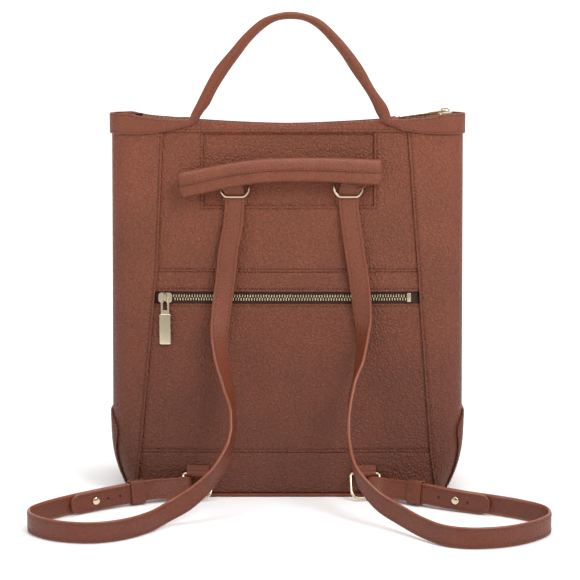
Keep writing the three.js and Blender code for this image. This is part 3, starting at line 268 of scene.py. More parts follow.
def addWall(name, columns, rows, place, material, slotName, keep=None, edge=0.5, nodes=None):
    # place(column, row, face) gives a point: face 1 outside, 0 inside
    points, faces, known = [], [], {}

    def at(i, j, face):
        key = (i, j, face)
        if key not in known:
            known[key] = len(points)
            points.append(place(columns[i], rows[j], face))
        return known[key]

    lastI, lastJ = len(columns) - 1, len(rows) - 1

    def kept(i, j):
        return 0 <= i < lastI and 0 <= j < lastJ and (keep is None or keep(columns[i], rows[j]))

    for i in range(lastI):
        for j in range(lastJ):
            if not kept(i, j):
                continue
            faces.append((at(i, j, 1), at(i + 1, j, 1), at(i + 1, j + 1, 1), at(i, j + 1, 1)))
            faces.append((at(i, j, 0), at(i, j + 1, 0), at(i + 1, j + 1, 0), at(i + 1, j, 0)))
            for ni, nj, i0, j0, i1, j1 in (
                (i, j - 1, i, j, i + 1, j), (i + 1, j, i + 1, j, i + 1, j + 1),
                (i, j + 1, i + 1, j + 1, i, j + 1), (i - 1, j, i, j + 1, i, j),
            ):
                if not kept(ni, nj):
                    faces.append((at(i0, j0, 0), at(i1, j1, 0), at(i1, j1, 1), at(i0, j0, 1)))
    piece = newPiece(name, points, turnOutward(points, faces), material)
    addBevel(piece, edge)
    return settle(piece, slotName, *(nodes or [name.replace("_leather", "")]))


def addLoft(name, sections, material, closed=False, levels=1, edgeFaces=()):
    count, spans = len(sections[0]), len(sections) if closed else len(sections) - 1
    points = [point for section in sections for point in section]
    faces, edgeAt = [], set()
    for s in range(spans):
        here, after = s * count, ((s + 1) % len(sections)) * count
        for k in range(count):
            other = (k + 1) % count
            if k in edgeFaces:
                edgeAt.add(len(faces))
            faces.append((here + k, here + other, after + other, after + k))
    if not closed:
        faces.append(tuple(reversed(range(count))))
        faces.append(tuple(range(spans * count, spans * count + count)))
    piece = newPiece(name, points, turnOutward(points, faces), material)
    if edgeFaces:
        piece.data.materials.append(paintedEdge)
        for k in edgeAt:
            piece.data.polygons[k].material_index = 1
    if levels:
        addSubdivision(piece, levels)
    return piece


# Materials
def colour(text):
    channels = [int(text[k:k + 2], 16) / 255 for k in (1, 3, 5)]
    return tuple(c / 12.92 if c <= 0.04045 else ((c + 0.055) / 1.055) ** 2.4 for c in channels) + (1,)


def newMaterial(name):
    material = bpy.data.materials.new(name)
    material.use_nodes = True
    tree = material.node_tree
    place = addNode(tree, "ShaderNodeTexCoord").outputs["Object"]
    return material, tree, tree.nodes["Principled BSDF"], place


def addNode(tree, kind, settings=None, **links):
    # settings: attributes, or inputs by name after "in:"; links: input name or number to a socket
    node = tree.nodes.new(kind)
    for key, value in (settings or {}).items():
        if key.startswith("in:"):
            name = key[3:]
            node.inputs[int(name) if name.isdigit() else name].default_value = value
        else:
            setattr(node, key, value)
    for key, socket in links.items():
        name = key.strip("_")
        tree.links.new(socket, node.inputs[int(name[1:]) if name[1:].isdigit() else name])
    return node


def addRamp(tree, source, stops):
    ramp = tree.nodes.new("ShaderNodeValToRGB")
    elements = ramp.color_ramp.elements
    while len(elements) < len(stops):
        elements.new(0.5)
    for element, (position, value) in zip(elements, stops):
        element.position, element.color = position, value
    tree.links.new(source, ramp.inputs[0])
    return ramp.outputs[0]


def noiseAt(tree, place, scale, detail=3.0):
    return addNode(tree, "ShaderNodeTexNoise", {"in:Scale": scale, "in:Detail": detail}, Vector=place)


def remap(tree, source, low, high, first, last):
    settings = {"in:1": low, "in:2": high, "in:3": first, "in:4": last}
    return addNode(tree, "ShaderNodeMapRange", settings, i0=source).outputs[0]


def finishShader(tree, shader, tone, bump, gloss=None):
    tree.links.new(tone, shader.inputs["Base Color"])
    if gloss:
        tree.links.new(gloss, shader.inputs["Roughness"])
    tree.links.new(bump.outputs[0], shader.inputs["Normal"])


def pebbledLeather(name, top, bottom, grain=1.9, bumpHeight=0.6, rough=0.42):
    # Pebbles of irregular size with creases between them; the colour darkens towards the foot as painted
    # shade, with painted shade in the creases and a painted lighter tone on the pebble tops
    material, tree, shader, place = newMaterial(name)
    warp = noiseAt(tree, place, 320.0, 2.0)
    shift = addNode(tree, "ShaderNodeVectorMath", {"operation": "SCALE", "in:Scale": 0.0011},
                    i0=warp.outputs["Color"])
    moved = addNode(tree, "ShaderNodeVectorMath", {"operation": "ADD"}, i0=place, i1=shift.outputs[0])
    pebble = addNode(tree, "ShaderNodeTexVoronoi",
                     {"feature": "SMOOTH_F1", "in:Scale": 1000 / grain, "in:Smoothness": 0.35},
                     Vector=moved.outputs[0])
    crease = addNode(tree, "ShaderNodeTexVoronoi",
                     {"feature": "DISTANCE_TO_EDGE", "in:Scale": 1000 / (grain * 2.4)},
                     Vector=moved.outputs[0])
    creaseLow = remap(tree, crease.outputs["Distance"], 0, 0.16, 0, 1)
    domes = remap(tree, pebble.outputs["Distance"], 0, 0.75, 1, 0)
    pores = noiseAt(tree, place, 2600.0)
    height = addNode(tree, "ShaderNodeMath", {"operation": "MULTIPLY_ADD", "in:1": 0.45},
                     i0=creaseLow, i2=domes)
    height = addNode(tree, "ShaderNodeMath", {"operation": "MULTIPLY_ADD", "in:1": 0.22},
                     i0=pores.outputs[0], i2=height.outputs[0])
    bump = addNode(tree, "ShaderNodeBump", {"in:Strength": 1.0, "in:Distance": bumpHeight * mm},
                   Height=height.outputs[0])
    # Painted shade: the colour runs from the darker bottom colour at the foot to the top colour 0.37 m up
    rise = addNode(tree, "ShaderNodeSeparateXYZ", i0=place)
    footShadeShare = remap(tree, rise.outputs["Z"], 0, 0.37, 0, 1)
    tone = addRamp(tree, footShadeShare, [(0.0, colour(bottom)), (1.0, colour(top))])
    cloud = noiseAt(tree, place, 22.0)
    patch = remap(tree, cloud.outputs[0], 0.3, 0.7, 0.9, 1.1)
    # Painted shade in the grain's creases and painted light on the pebble tops, scaled by the bump's height
    grainShadeAndLight = remap(tree, height.outputs[0], 0.3, 1.3, 0.78, 1.1)
    factor = addNode(tree, "ShaderNodeMath", {"operation": "MULTIPLY"}, i0=patch, i1=grainShadeAndLight)
    tint = addNode(tree, "ShaderNodeVectorMath", {"operation": "SCALE"}, i0=tone, Scale=factor.outputs[0])
    gloss = remap(tree, height.outputs[0], 0.3, 1.3, rough + 0.14, rough - 0.06)
    finishShader(tree, shader, tint.outputs[0], bump, gloss)
    shader.inputs["Specular IOR Level"].default_value = 0.42
    return material


def satin(name, base, second, scale, rough, metallic=0.0, bumpHeight=0.02):
    # Painted edges, thread, tape and metal: two close tones and a fine bump
    material, tree, shader, place = newMaterial(name)
    noise = noiseAt(tree, place, scale)
    tone = addRamp(tree, noise.outputs[0], [(0.35, colour(base)), (0.65, colour(second))])
    gloss = remap(tree, noise.outputs[0], 0.3, 0.7, rough * 0.85, rough * 1.15)
    bump = addNode(tree, "ShaderNodeBump", {"in:Strength": 0.5, "in:Distance": bumpHeight * mm},
                   Height=noise.outputs[0])
    finishShader(tree, shader, tone, bump, gloss)
    shader.inputs["Metallic"].default_value = metallic
    return material


def wovenTape(name, base, second, thread=0.55):
    material, tree, shader, place = newMaterial(name)
    wave = addNode(tree, "ShaderNodeTexWave",
                   {"wave_type": "BANDS", "bands_direction": "DIAGONAL",
                    "in:Scale": 1000 / (6.283 * thread)}, Vector=place)
    tone = addRamp(tree, wave.outputs["Fac"], [(0.2, colour(base)), (0.8, colour(second))])
    bump = addNode(tree, "ShaderNodeBump", {"in:Strength": 0.8, "in:Distance": 0.1 * mm},
                   Height=wave.outputs["Fac"])
    finishShader(tree, shader, tone, bump)
    shader.inputs["Roughness"].default_value = 0.85
    return material


# Each leather's second, darker colour is painted shade towards the foot of the bag
cognac = pebbledLeather("pebbledLeather", "#7d3e22", "#582610")
strapLeather = pebbledLeather("strapLeather", "#7b3e24", "#69301a", grain=1.4, bumpHeight=0.26, rough=0.4)
paintedEdge = satin("paintedEdge", "#85452c", "#783b23", 400.0, 0.32)
thread = satin("bondedThread", "#4a2113", "#57291a", 1500.0, 0.5)
paleGold = satin("paleGoldPlating", "#dccdb2", "#cfbfa2", 60.0, 0.17, metallic=1.0, bumpHeight=0.004)
zipMetal = satin("zipMetal", "#d3c6a8", "#c0b08c", 300.0, 0.26, metallic=1.0, bumpHeight=0.01)
agedMetal = satin("agedZipMetal", "#4a3b33", "#3a2d27", 300.0, 0.4, metallic=1.0, bumpHeight=0.01)
tapeWeave = wovenTape("tapeWeave", "#2c1811", "#3f241a")
# Dark colour for the strap's punched holes: painted shade in place of real holes
holeShade = satin("punchedHoleShade", "#24120b", "#2f1910", 600.0, 0.8)
print("stage: materials made")


# Rows of repeated things: stitches and teeth
def makeRowTree():
    tree = bpy.data.node_groups.new("rowOfPieces", "GeometryNodeTree")
    face = tree.interface
    face.new_socket(name="Geometry", in_out="OUTPUT", socket_type="NodeSocketGeometry")
    face.new_socket(name="Geometry", in_out="INPUT", socket_type="NodeSocketGeometry")
    sockets = {
        "Pitch": "NodeSocketFloat", "Piece": "NodeSocketObject", "Out": "NodeSocketVector",
        "Material": "NodeSocketMaterial",
    }
    ids = {name: face.new_socket(name=name, in_out="INPUT", socket_type=kind).identifier
           for name, kind in sockets.items()}
    entry = tree.nodes.new("NodeGroupInput").outputs
    line = addNode(tree, "GeometryNodeMeshToCurve", Mesh=entry["Geometry"])
    spaced = addNode(tree, "GeometryNodeResampleCurve", {"mode": "LENGTH"},
                     Curve=line.outputs[0], Length=entry["Pitch"])
    tangent = addNode(tree, "GeometryNodeInputTangent")
    along = addNode(tree, "FunctionNodeAlignRotationToVector", {"axis": "X"}, Vector=tangent.outputs[0])
    turned = addNode(tree, "FunctionNodeAlignRotationToVector", {"axis": "Z", "pivot_axis": "X"},
                     Rotation=along.outputs[0], Vector=entry["Out"])
    source = addNode(tree, "GeometryNodeObjectInfo", {"transform_space": "ORIGINAL"}, Object=entry["Piece"])
    copies = addNode(tree, "GeometryNodeInstanceOnPoints", Points=spaced.outputs[0],
                     Instance=source.outputs["Geometry"], Rotation=turned.outputs[0])
    real = addNode(tree, "GeometryNodeRealizeInstances", Geometry=copies.outputs[0])
    painted = addNode(tree, "GeometryNodeSetMaterial", Geometry=real.outputs[0], Material=entry["Material"])
    out = tree.nodes.new("NodeGroupOutput")
    tree.links.new(painted.outputs[0], out.inputs[0])
    return tree, ids


rowTree, rowIds = makeRowTree()


def capsule(name, length, radius, sides=6):
    rings = [(-0.5, 0.25), (-0.36, 0.85), (0.0, 1.0), (0.36, 0.85), (0.5, 0.25)]
    sections = [[Vector((x * length, radius * r * math.cos(2 * math.pi * k / sides),
                         radius * r * math.sin(2 * math.pi * k / sides))) for k in range(sides)]
                for x, r in rings]
    return addLoft(name, sections, thread, levels=0)


def toothMesh(name, along, across, high):
    # A rounded block with a narrower head
    outline = [(-0.5, -0.5), (0.5, -0.5), (0.42, 0.5), (-0.42, 0.5)]
    sections = [[Vector((a * along * wide, b * across * wide, h * high)) for a, b in outline]
                for h, wide in ((0, 1.0), (0.55, 1.0), (0.9, 0.8), (1.0, 0.55))]
    return addLoft(name, sections, zipMetal, levels=0)


stitchPiece = capsule("stitchPiece", 2.3, 0.36)
toothPiece = toothMesh("toothPiece", 1.3, 2.9, 1.75)
lowToothPiece = toothMesh("lowToothPiece", 1.3, 2.9, 1.0)


def addRows(name, lines, pitch, source, material, slotName, out=(0, -1, 0), nodes=()):
    points, edges = [], []
    for line in lines:
        for k, point in enumerate(line):
            if k:
                edges.append((len(points) - 1, len(points)))
            points.append(tuple(point * mm))
    mesh = bpy.data.meshes.new(name + "Line")
    mesh.from_pydata(points, edges, [])
    holder = newObject(name + "Line", mesh)
    rows = holder.modifiers.new("rows", "NODES")
    rows.node_group = rowTree
    for key, value in (("Pitch", pitch * mm), ("Piece", source), ("Out", out), ("Material", material)):
        rows[rowIds[key]] = value
    bpy.context.view_layer.update()
    done = holder.evaluated_get(bpy.context.evaluated_depsgraph_get())
    piece = newObject(name, bpy.data.meshes.new_from_object(done))
    bpy.data.objects.remove(holder)
    piece.data.shade_smooth()
    return settle(piece, slotName, *nodes)


stitchPitch, stitchIn = 3.6, 2.5
stitchLines = []


def seamLine(place, values):
    stitchLines.append([place(value) for value in values])


def dense(values, step):
    fine = [values[0]]
    for a, b in zip(values, values[1:]):
        count = max(1, round(abs(b - a) / step))
        fine += [lerp(a, b, k / count) for k in range(1, count + 1)]
    return fine


# How leather dips at a stitched line and swells beside it, by distance from its edge
def edgeRelief(distance, depth=0.5):
    swell = 0.22 * bell(distance, 5.2, 1.9) + 0.12 * bell(distance, 0.9, 0.6)
    return -depth * bell(distance, stitchIn, 0.8) + swell


rimRow = 1e9


def heightOf(row, x):
    return rimAt(x) - gap if row == rimRow else row


nearOne = [1, 1.012, 1.025, 1.04, 1.055, 1.07, 1.09, 1.12, 1.2, 1.35, 1.55, 1.75, 2]
panelColumns = [-c for c in reversed(nearOne)] + steps(-1, 1, 26)[1:-1] + nearOne


def panelLength(column, z, ends):
    left, right = windowLeft, windowRight
    if abs(column) <= 1:
        return lerp(left, right, (column + 1) / 2)
    side = math.copysign(1, column)
    return lerp(left if side < 0 else right, side * (seamLength(side, z) + ends), abs(column) - 1)


def centrePanel(name, rows, face, relief, keep=None):
    def place(column, row, outside):
        z = heightOf(row, panelLength(column, min(row, rimHeight), 0))
        length = panelLength(column, z, body["seamLap"])
        away = relief(length, z) if outside else -panelThick
        return skin(length, z, away, face)

    return addWall(name, panelColumns, rows, place, cognac, "leather", keep)


def fineRows(low, high, nearHigh=True):
    offsets = [0, 0.8, 1.6, 2.5, 3.3, 4.4, 6, 8]
    lows = [low + k for k in offsets]
    highs = [high - k for k in reversed(offsets)] if nearHigh else [high - 8, high]
    return lows + dense([lows[-1], highs[0]], 14)[1:-1] + highs


half = gap / 2
seamUp, seamDown = body["upperSeam"] + half, body["upperSeam"] - half
baseUp, baseDown = body["baseSeam"] + half, body["baseSeam"] - half


def outsideWindow(length, z):
    dx = max(windowLeft - length, length - windowRight, 0)
    return math.hypot(dx, max(windowBottom - z, 0))


def upperRelief(length, z):
    nearWindow = outsideWindow(length, z) if z < windowTop + 1 else 9
    return edgeRelief(nearWindow) * clamp((windowTop - z) / 3) + edgeRelief(z - seamUp)


windowRows = (fineRows(seamUp, windowBottom) + dense([windowBottom, windowTop], 9)[1:]
              + [345.5, rimRow])


def inWindow(column, row):
    return -1 <= column < 0.999999 and windowBottom <= row < windowTop


centrePanel("back_upper_panel_leather", windowRows, -1, upperRelief, lambda c, r: not inWindow(c, r))
centrePanel("back_zip_band_leather", fineRows(slotTop, seamDown, nearHigh=False), -1,
            lambda length, z: edgeRelief(z - slotTop))
centrePanel("back_lower_panel_leather", fineRows(baseUp, slotBottom), -1,
            lambda length, z: edgeRelief(slotBottom - z) + edgeRelief(z - baseUp))
footHeights = [row[0] * body["patchHeight"] for row in patchRows[1:]]
stripRows = dense([panelFoot] + [z for z in footHeights if z < baseDown - 2] + [baseDown], 4)
centrePanel("back_base_strip_leather", stripRows, -1, lambda length, z: 0.15 * bell(z, baseDown - 1, 2.5))
wallHeights = [130, 190, 250, 310, bandBottom]
frontRows = [baseUp, baseUp + 1.5, baseUp + 2.5, baseUp + 3.5, 52] + dense(
    [z for z in footHeights if z > 55] + wallHeights, 14) + [rimRow]
centrePanel("front_centre_panel_leather", frontRows, 1, lambda length, z: edgeRelief(z - baseUp))
centrePanel("front_base_strip_leather", stripRows, 1, lambda length, z: 0.0)
addWall(
    "back_window_panel_leather",
    dense([windowLeft - body["windowLap"], windowRight + body["windowLap"]], 9),
    dense([windowBottom - body["windowLap"], windowTop + 2], 9),
    lambda length, z, outside: skin(
        length, z, -panelThick - gap - (0 if outside else panelThick)),
    cognac, "leather",
)

# Side panels from seam to seam, with a dip along their stitches
bendShares = [0, 0.02, 0.04, 0.065, 0.09, 0.12, 0.16, 0.2, 0.28, 0.4, 0.6, 0.8]
halfColumns = bendShares + steps(1, 2, 10)
sideColumns = halfColumns + steps(2, 3, 8)[1:-1] + [5 - c for c in reversed(halfColumns)]
sideRows = dense([panelFoot] + footHeights + wallHeights, 11) + [rimRow]
for word, side in bothSides:
    def sidePlace(column, row, outside):
        z = min(row, rimHeight)
        seam = seamLength(side if column < 2.5 else -1, z)
        start = zoneOfLength(seam, z)
        bend = max(1, start + 0.1)
        near = min(column, 5 - column)
        if 2 <= column <= 3:
            zone = column
        else:
            zone = lerp(start, bend, near) if near < 1 else lerp(bend, 2, near - 1)
        relief = edgeRelief(lengthOfZone(zone, z) - seam) if near < 1 else 0
        away = outsideSide + relief if outside else body["sideGap"]
        z = heightOf(row, skinByZone(min(zone, 5 - zone), z, 0, 1).x)
        return skinByZone(zone if column <= 3 else 5 - zone, z, away, side)

    addWall(f"{word}_side_panel_leather", sideColumns, sideRows, sidePlace, cognac, "leather", edge=0.65)
    for face, seamSide in ((-1, side), (1, -1)):
        seamLine(lambda z: skin(side * (seamLength(seamSide, z) + stitchIn), z, outsideSide - 0.1, face),
                 dense([9, bandBottom - 1], 6))

# Corner patches with their stitched, curved edge
patchShares = [0, 0.02, 0.05, 0.08, 0.12, 0.17, 0.25, 0.35, 0.5, 0.7]
patchHalf = patchShares + [1]
patchColumns = [1 + c for c in patchHalf] + steps(2, 3, 8)[1:-1] + [4 - c for c in reversed(patchHalf)]
patchHeights = dense([row[0] * body["patchHeight"] for row in patchRows], 3)


def patchEdge(z):
    # The edge is a smooth S where the part has straight steps
    return sum(readTable(patchRows, 1, (z + k) / body["patchHeight"]) for k in (-4, -2, 0, 2, 4)) / 5


patchAway, patchStitchTop, cornerArc = outsideSide + 1.5 * gap, 77.5, 28
for word, side in bothSides:
    def patchPlace(column, z, outside):
        edge = patchEdge(z)
        if 2 <= column <= 3:
            zone = column
        else:
            zone = lerp(edge, 2, min(column, 5 - column) - 1)
        distance = min((zone - edge) * cornerArc, body["patchHeight"] - z)
        away = patchAway + (body["patchThick"] + edgeRelief(distance, 0.25) if outside else 0)
        return skinByZone(zone if column <= 3 else 5 - zone, z, away, side)

    addWall(f"{word}_corner_patch_leather", patchColumns, patchHeights, patchPlace, cognac, "leather",
            edge=0.6)
    outer = patchAway + body["patchThick"] - 0.1
    for flip in (False, True):
        seamLine(lambda z: skinByZone(
            5 - patchEdge(z) - 0.09 if flip else patchEdge(z) + 0.09, z, outer, side),
            dense([8, patchStitchTop], 3))
    seamLine(lambda zone: skinByZone(zone, patchStitchTop, outer, side), steps(2.0, 3.0, 12))

# Bands along the rim between the side panels
bandRows = [bandBottom + k for k in (0, 1, 2, 3)] + [rimRow]
for word, face in bothFaces:
    def bandPlace(share, row, outside):
        seam = seamLength((-1 if share < 0 else 1) if face < 0 else -1, bandBottom)
        length = share * (seam - gap)
        z = rimAt(length) if row == rimRow else row
        relief = edgeRelief(z - bandBottom, 0.2) if row != rimRow else 0
        return skin(length, z, gap + (body["bandThick"] + relief if outside else 0), face)

    addWall(f"{word}_centre_band_leather", steps(-1, 1, 40), bandRows, bandPlace, cognac, "leather")
    seamLine(lambda x: skin(x, bandBottom + 2.4, gap + body["bandThick"] - 0.05, face),
             dense([-96, 96], 6))

# Stitched lines of the strap side
lineAway = -0.15
for z in (seamUp + stitchIn, slotTop + stitchIn, slotBottom - stitchIn, baseUp + stitchIn):
    seamLine(lambda x: skin(x, z, lineAway), dense([-seamLength(-1, z) + 2, seamLength(1, z) - 2], 6))
seamLine(lambda x: skin(x, baseUp + stitchIn, lineAway, 1), dense([-140, 140], 6))
seamLine(lambda x: skin(x, windowBottom - stitchIn, lineAway), dense([-82, 84], 6))
for x in (windowLeft - stitchIn, windowRight + stitchIn):
    seamLine(lambda z: skin(x, z, lineAway), dense([windowBottom - 2, 342], 6))
print("stage: panels made")


# Smooth curves through points: uniform for shapes, centripetal for routes
def catmull(points, share, centripetal=False):
    last = len(points) - 1
    spot = clamp(share) * last
    i = min(int(spot), last - 1)
    w = spot - i
    p1, p2 = points[i], points[i + 1]
    p0 = points[i - 1] if i > 0 else 2 * p1 - p2
    p3 = points[i + 2] if i + 2 <= last else 2 * p2 - p1
    if centripetal:
        d0, d1, d2 = [(a - b).length ** 0.5 for a, b in ((p0, p1), (p1, p2), (p2, p3))]
        d1 = d1 if d1 > 1e-2 else 1.0
        d0 = d0 if d0 > 1e-2 else d1
        d2 = d2 if d2 > 1e-2 else d1
        t1 = ((p1 - p0) / d0 - (p2 - p0) / (d0 + d1) + (p2 - p1) / d1) * d1
        t2 = ((p2 - p1) / d1 - (p3 - p1) / (d1 + d2) + (p3 - p2) / d2) * d1
    else:
        t1, t2 = (p2 - p0) / 2, (p3 - p1) / 2
    return (p1 + t1 * w + (-3 * p1 + 3 * p2 - 2 * t1 - t2) * w ** 2
            + (2 * p1 - 2 * p2 + t1 + t2) * w ** 3)


def tangentAt(points, share):
    low, high = clamp(share - 1e-4), clamp(share + 1e-4)
    return (catmull(points, high, True) - catmull(points, low, True)).normalized()


# Handles
wingZones = [2.45, 2.05, 1.85, 1.65, 1.45, 1.25, 1.05]
handleFineness = 3


def stripSection(outer, inner, outward, thick):
    across = inner - outer
    bevel = 0.3 * min(thick, across.length)
    inset = across.normalized() * bevel
    full, low = outward * (thick / 2), outward * (thick / 2 - bevel)
    return [outer + low, outer + inset + full, inner - inset + full, inner + low,
            inner - low, inner - inset - full, outer + inset - full, outer - low]


def handleSections(face):
    def wing(side):
        made = []
        rows = [(rimAt(bagHalfWidth), wingRows[0][1], zone) for zone in wingZones]
        for reach, low in wingRows:
            x = reach * body["handleSpan"]
            rows.append((rimAt(x), low, zoneOfLength(x, rimHeight)))
        for top, low, zone in rows:
            def spot(z, away):
                point = skinByZone(zone, z, away, side)
                if face > 0:
                    point.y = -point.y
                return point
            height = rimHeight + low * body["handleRise"]
            outward = spot(height, 1) - spot(height, 0)
            outward.z = 0
            made.append(stripSection(spot(top, wingAway), spot(height, wingAway), outward.normalized(),
                                     body["wingThick"]))
        return made

    def edge(x, up):
        return skin(x * body["handleSpan"], rimHeight + up * body["handleRise"], wingAway, face)

    arch = [stripSection(edge(outX, outUp), edge(inX, inUp), Vector((0, face, 0)), thick * body["archThick"])
            for outX, outUp, inX, inUp, thick in archRows]
    return wing(-1) + arch + wing(1)[::-1]


for word, face in bothFaces:
    coarse = handleSections(face)
    count = (len(coarse) - 1) * handleFineness
    columnsOfPoints = [[section[k] for section in coarse] for k in range(8)]
    fine = [[catmull(points, i / count) for points in columnsOfPoints] for i in range(count + 1)]
    piece = addLoft(f"{word}_handle_leather", fine, strapLeather)
    settle(piece, "leather", f"{word}_handle")
    # Stitches along the wings' lower edge and up the inner edge of the arch, and round the top edge
    lower, upper = [], []
    for section in fine:
        outer, inner = section[1], section[2]
        across = (outer - inner).normalized()
        proud = (section[2] - section[5]).normalized() * -0.12
        lower.append(inner + across * 1.5 + proud)
        upper.append(outer - across * 1.3 + proud)
    wingPart = (len(wingZones) + len(wingRows)) * handleFineness
    stitchLines += [lower[2:-2], upper[2:wingPart], upper[-wingPart:-2]]
print("stage: handles made")

# Top: gussets, zip and its teeth
gussetTop, gussetThick = -1.1, 1.5
tapeTop = gussetTop - gussetThick - gap
topZipHalf, topMouthHalf = 160, 5.5
gussetEnd = bagHalfWidth - 3.2
gussetX = dense([0, 50, 100, 130, 150, topZipHalf], 8) + [topZipHalf + 1, gussetEnd]
for word, face in bothFaces:
    def gussetPlace(x, row, outside):
        round_, middleX, middleY = cornerAt(rimHeight)
        reach = round_ - panelThick - gap
        wall = middleY + math.sqrt(max(0, reach ** 2 - max(0, abs(x) - middleX) ** 2))
        mouth = gap / 2 if abs(x) > topZipHalf else topMouthHalf
        height = rimAt(x) + gussetTop - (0 if outside else gussetThick)
        if outside:
            height += edgeRelief(lerp(mouth, wall, row) - mouth, 0.2)
        return Vector((x, face * lerp(mouth, wall, row), height))

    addWall(f"{word}_top_gusset_leather", [-x for x in reversed(gussetX[1:])] + gussetX,
            [0, 0.08, 0.17, 0.25, 0.4, 0.7, 1], gussetPlace, cognac, "leather", edge=0.45)
    stitchLines.append([Vector((x, face * (topMouthHalf + 2.4), rimAt(x) + gussetTop + 0.05))
                        for x in dense([-154, 154], 8)])
addWall("top_zip_tape_weave", steps(gap - topZipHalf, topZipHalf - gap, 60), [-12, -5, 0, 5, 12],
        lambda x, y, outside: Vector((x, y, rimAt(x) + tapeTop - (0 if outside else 0.8))),
        tapeWeave, "zip_tape", edge=0.2, nodes=["top_zip_tape"])
toothFoot = tapeTop + gap
topSliderX, topSliderHalf = 0.91 * bagHalfWidth, 6.5
zipEndX, zipEndHalf = -142, 3.5
topStart, topStop = zipEndX + zipEndHalf + gap, topSliderX - topSliderHalf - gap
toothPitch = 2.5
topLines = [[Vector((x, y, rimAt(x) + toothFoot)) for x in dense([topStart + lead, topStop - lag], 9)]
            for y, lead, lag in ((-1.4, 0.8, 2.2), (1.4, 2.05, 0.9))]
addRows("top_zip_teeth_rows", topLines, toothPitch, lowToothPiece, zipMetal, "zip_metal", (0, 0, 1),
        ["top_zip_teeth"])

slotMiddle = (slotTop + slotBottom) / 2
pocketAway = -panelThick - gap
addWall("pocket_zip_tape_weave", panelColumns, [slotBottom - 4, 184, 186, 191.4, 193.4,
                                                 slotTop + 4],
        lambda c, z, outside: skin(panelLength(c, z, -0.6), z, pocketAway - (0 if outside else 0.8)),
        tapeWeave, "zip_tape", edge=0.2, nodes=["pocket_zip_tape"])
pocketSliderX = -0.697 * bagHalfWidth
pocketStopX = seamLength(1, slotMiddle) - 10
pocketLines = [[skin(x, slotMiddle + dz, pocketAway + gap + 0.05)
                for x in dense([pocketSliderX + 6.8 + lead, pocketStopX - 2.3 - lag], 6)]
               for dz, lead, lag in ((1.55, 0.9, 2.3), (-1.55, 2.15, 1.0))]
addRows("pocket_zip_teeth_rows", pocketLines, toothPitch, toothPiece, zipMetal, "zip_metal", (0, -1, 0.12),
        ["pocket_zip_teeth"])


# Small hard pieces keep their CAD shape, with rounded edges
def refined(node, material, slotName, edge, segments=3, onBody="bag"):
    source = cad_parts[node]
    piece = newObject(node + "_fine", source.data.copy())
    piece.data.materials.clear()
    piece.data.materials.append(material)
    for polygon in piece.data.polygons:
        polygon.material_index = 0
    piece.data.shade_smooth()
    merge = piece.modifiers.new("merge", "WELD")
    merge.merge_threshold = 0.01 * mm
    flat = piece.modifiers.new("flat", "DECIMATE")
    flat.decimate_type, flat.angle_limit = "DISSOLVE", math.radians(1.5)
    addBevel(piece, edge, segments, 24)
    return settle(piece, slotName, node, onBody=onBody)


for node in ("pocket_slider", "top_slider"):
    refined(node, paleGold, "pale_gold", 0.35)
for node, onBody in (("pocket_puller", "pocket_pull"), ("top_puller", "top_pull")):
    refined(node, paleGold, "pale_gold", 0.3, onBody=onBody)
refined("pocket_zip_stop", zipMetal, "zip_metal", 0.35)
refined("top_zip_end", agedMetal, "zip_metal", 0.35)
for word in ("left", "right"):
    for part in ("top_chape", "low_chape", "keeper"):
        refined(f"{word}_{part}", strapLeather, "leather", 0.4)
    refined(f"{word}_stud", paleGold, "pale_gold", 0.4, segments=4)
refined("base_panel", strapLeather, "leather", 1.2, segments=4)
print("stage: zips and fittings made")

# Rings: bent wire with rounded corners
ring = dict(wire=1.3, topHalf=13.8, armHalf=13.2, barHalf=9.2, armDrop=18.5, drop=24, bend=2.6)
chapeThick, strapThick, strapWidth = 1.5, 3.2, 19
ringTopAway = -panelThick + chapeThick + gap + ring["wire"]
strapAway = -panelThick + chapeThick + 1.6 * gap + strapThick / 2
ringBarAway = strapAway + strapThick / 2 + 1.6 * gap + ring["wire"]
rollRadius = ring["wire"] + gap + chapeThick
topRings = dict(left=-0.3, right=0.346)
lowRings = dict(left=-0.514, right=0.443)
topRingHeight, lowRingHeight, lowRingAway, lowRingLean = 307, 22.6, 6.4, 13


def plainSkin(x, z, away):
    # The strap side without its unevenness, where the hard pieces sit
    _, middleX, middleY = cornerAt(z)
    zone = min(1, abs(x) / middleX)
    return Vector((x, -halfDepthAt(z) - away - crownAt(z) * (1 - zone * zone), z))


def onPanel(x, z, away):
    across = (plainSkin(x + 1, z, 0) - plainSkin(x - 1, z, 0)).normalized()
    up = (plainSkin(x, z + 1, 0) - plainSkin(x, z - 1, 0)).normalized()
    return plainSkin(x, z, 0) + across.cross(up).normalized() * away


def addRing(name, top, down):
    alongX = Vector((1, 0, 0))
    corners = [Vector(c) for c in (
        (-ring["topHalf"], 0), (ring["topHalf"], 0), (ring["armHalf"], ring["armDrop"]),
        (ring["barHalf"], ring["drop"]), (-ring["barHalf"], ring["drop"]),
        (-ring["armHalf"], ring["armDrop"]))]
    path = []
    for i, corner in enumerate(corners):
        before = corner + (corners[i - 1] - corner).normalized() * ring["bend"]
        after = corner + (corners[(i + 1) % 6] - corner).normalized() * ring["bend"]
        for w in steps(0, 1, 6):
            path.append(before * (1 - w) ** 2 + corner * (2 * w * (1 - w)) + after * w * w)
    normal = alongX.cross(down)
    sections = []
    for i, point in enumerate(path):
        way = path[(i + 1) % len(path)] - path[i - 1]
        along = (alongX * way.x + down * way.y).normalized()
        side = along.cross(normal)
        centre = top + alongX * point.x + down * point.y
        sections.append([centre + (side * math.cos(a) + normal * math.sin(a)) * ring["wire"]
                         for a in steps(0, 2 * math.pi, 16)[:-1]])
    piece = addLoft(name + "_wire", sections, paleGold, closed=True, levels=0)
    settle(piece, "pale_gold", name)


def lowRingPlace(share):
    drop = math.sqrt(ring["drop"] ** 2 - lowRingLean ** 2)
    down = Vector((0, -lowRingLean, -drop)).normalized()
    return onPanel(share * bagHalfWidth, lowRingHeight, lowRingAway), down


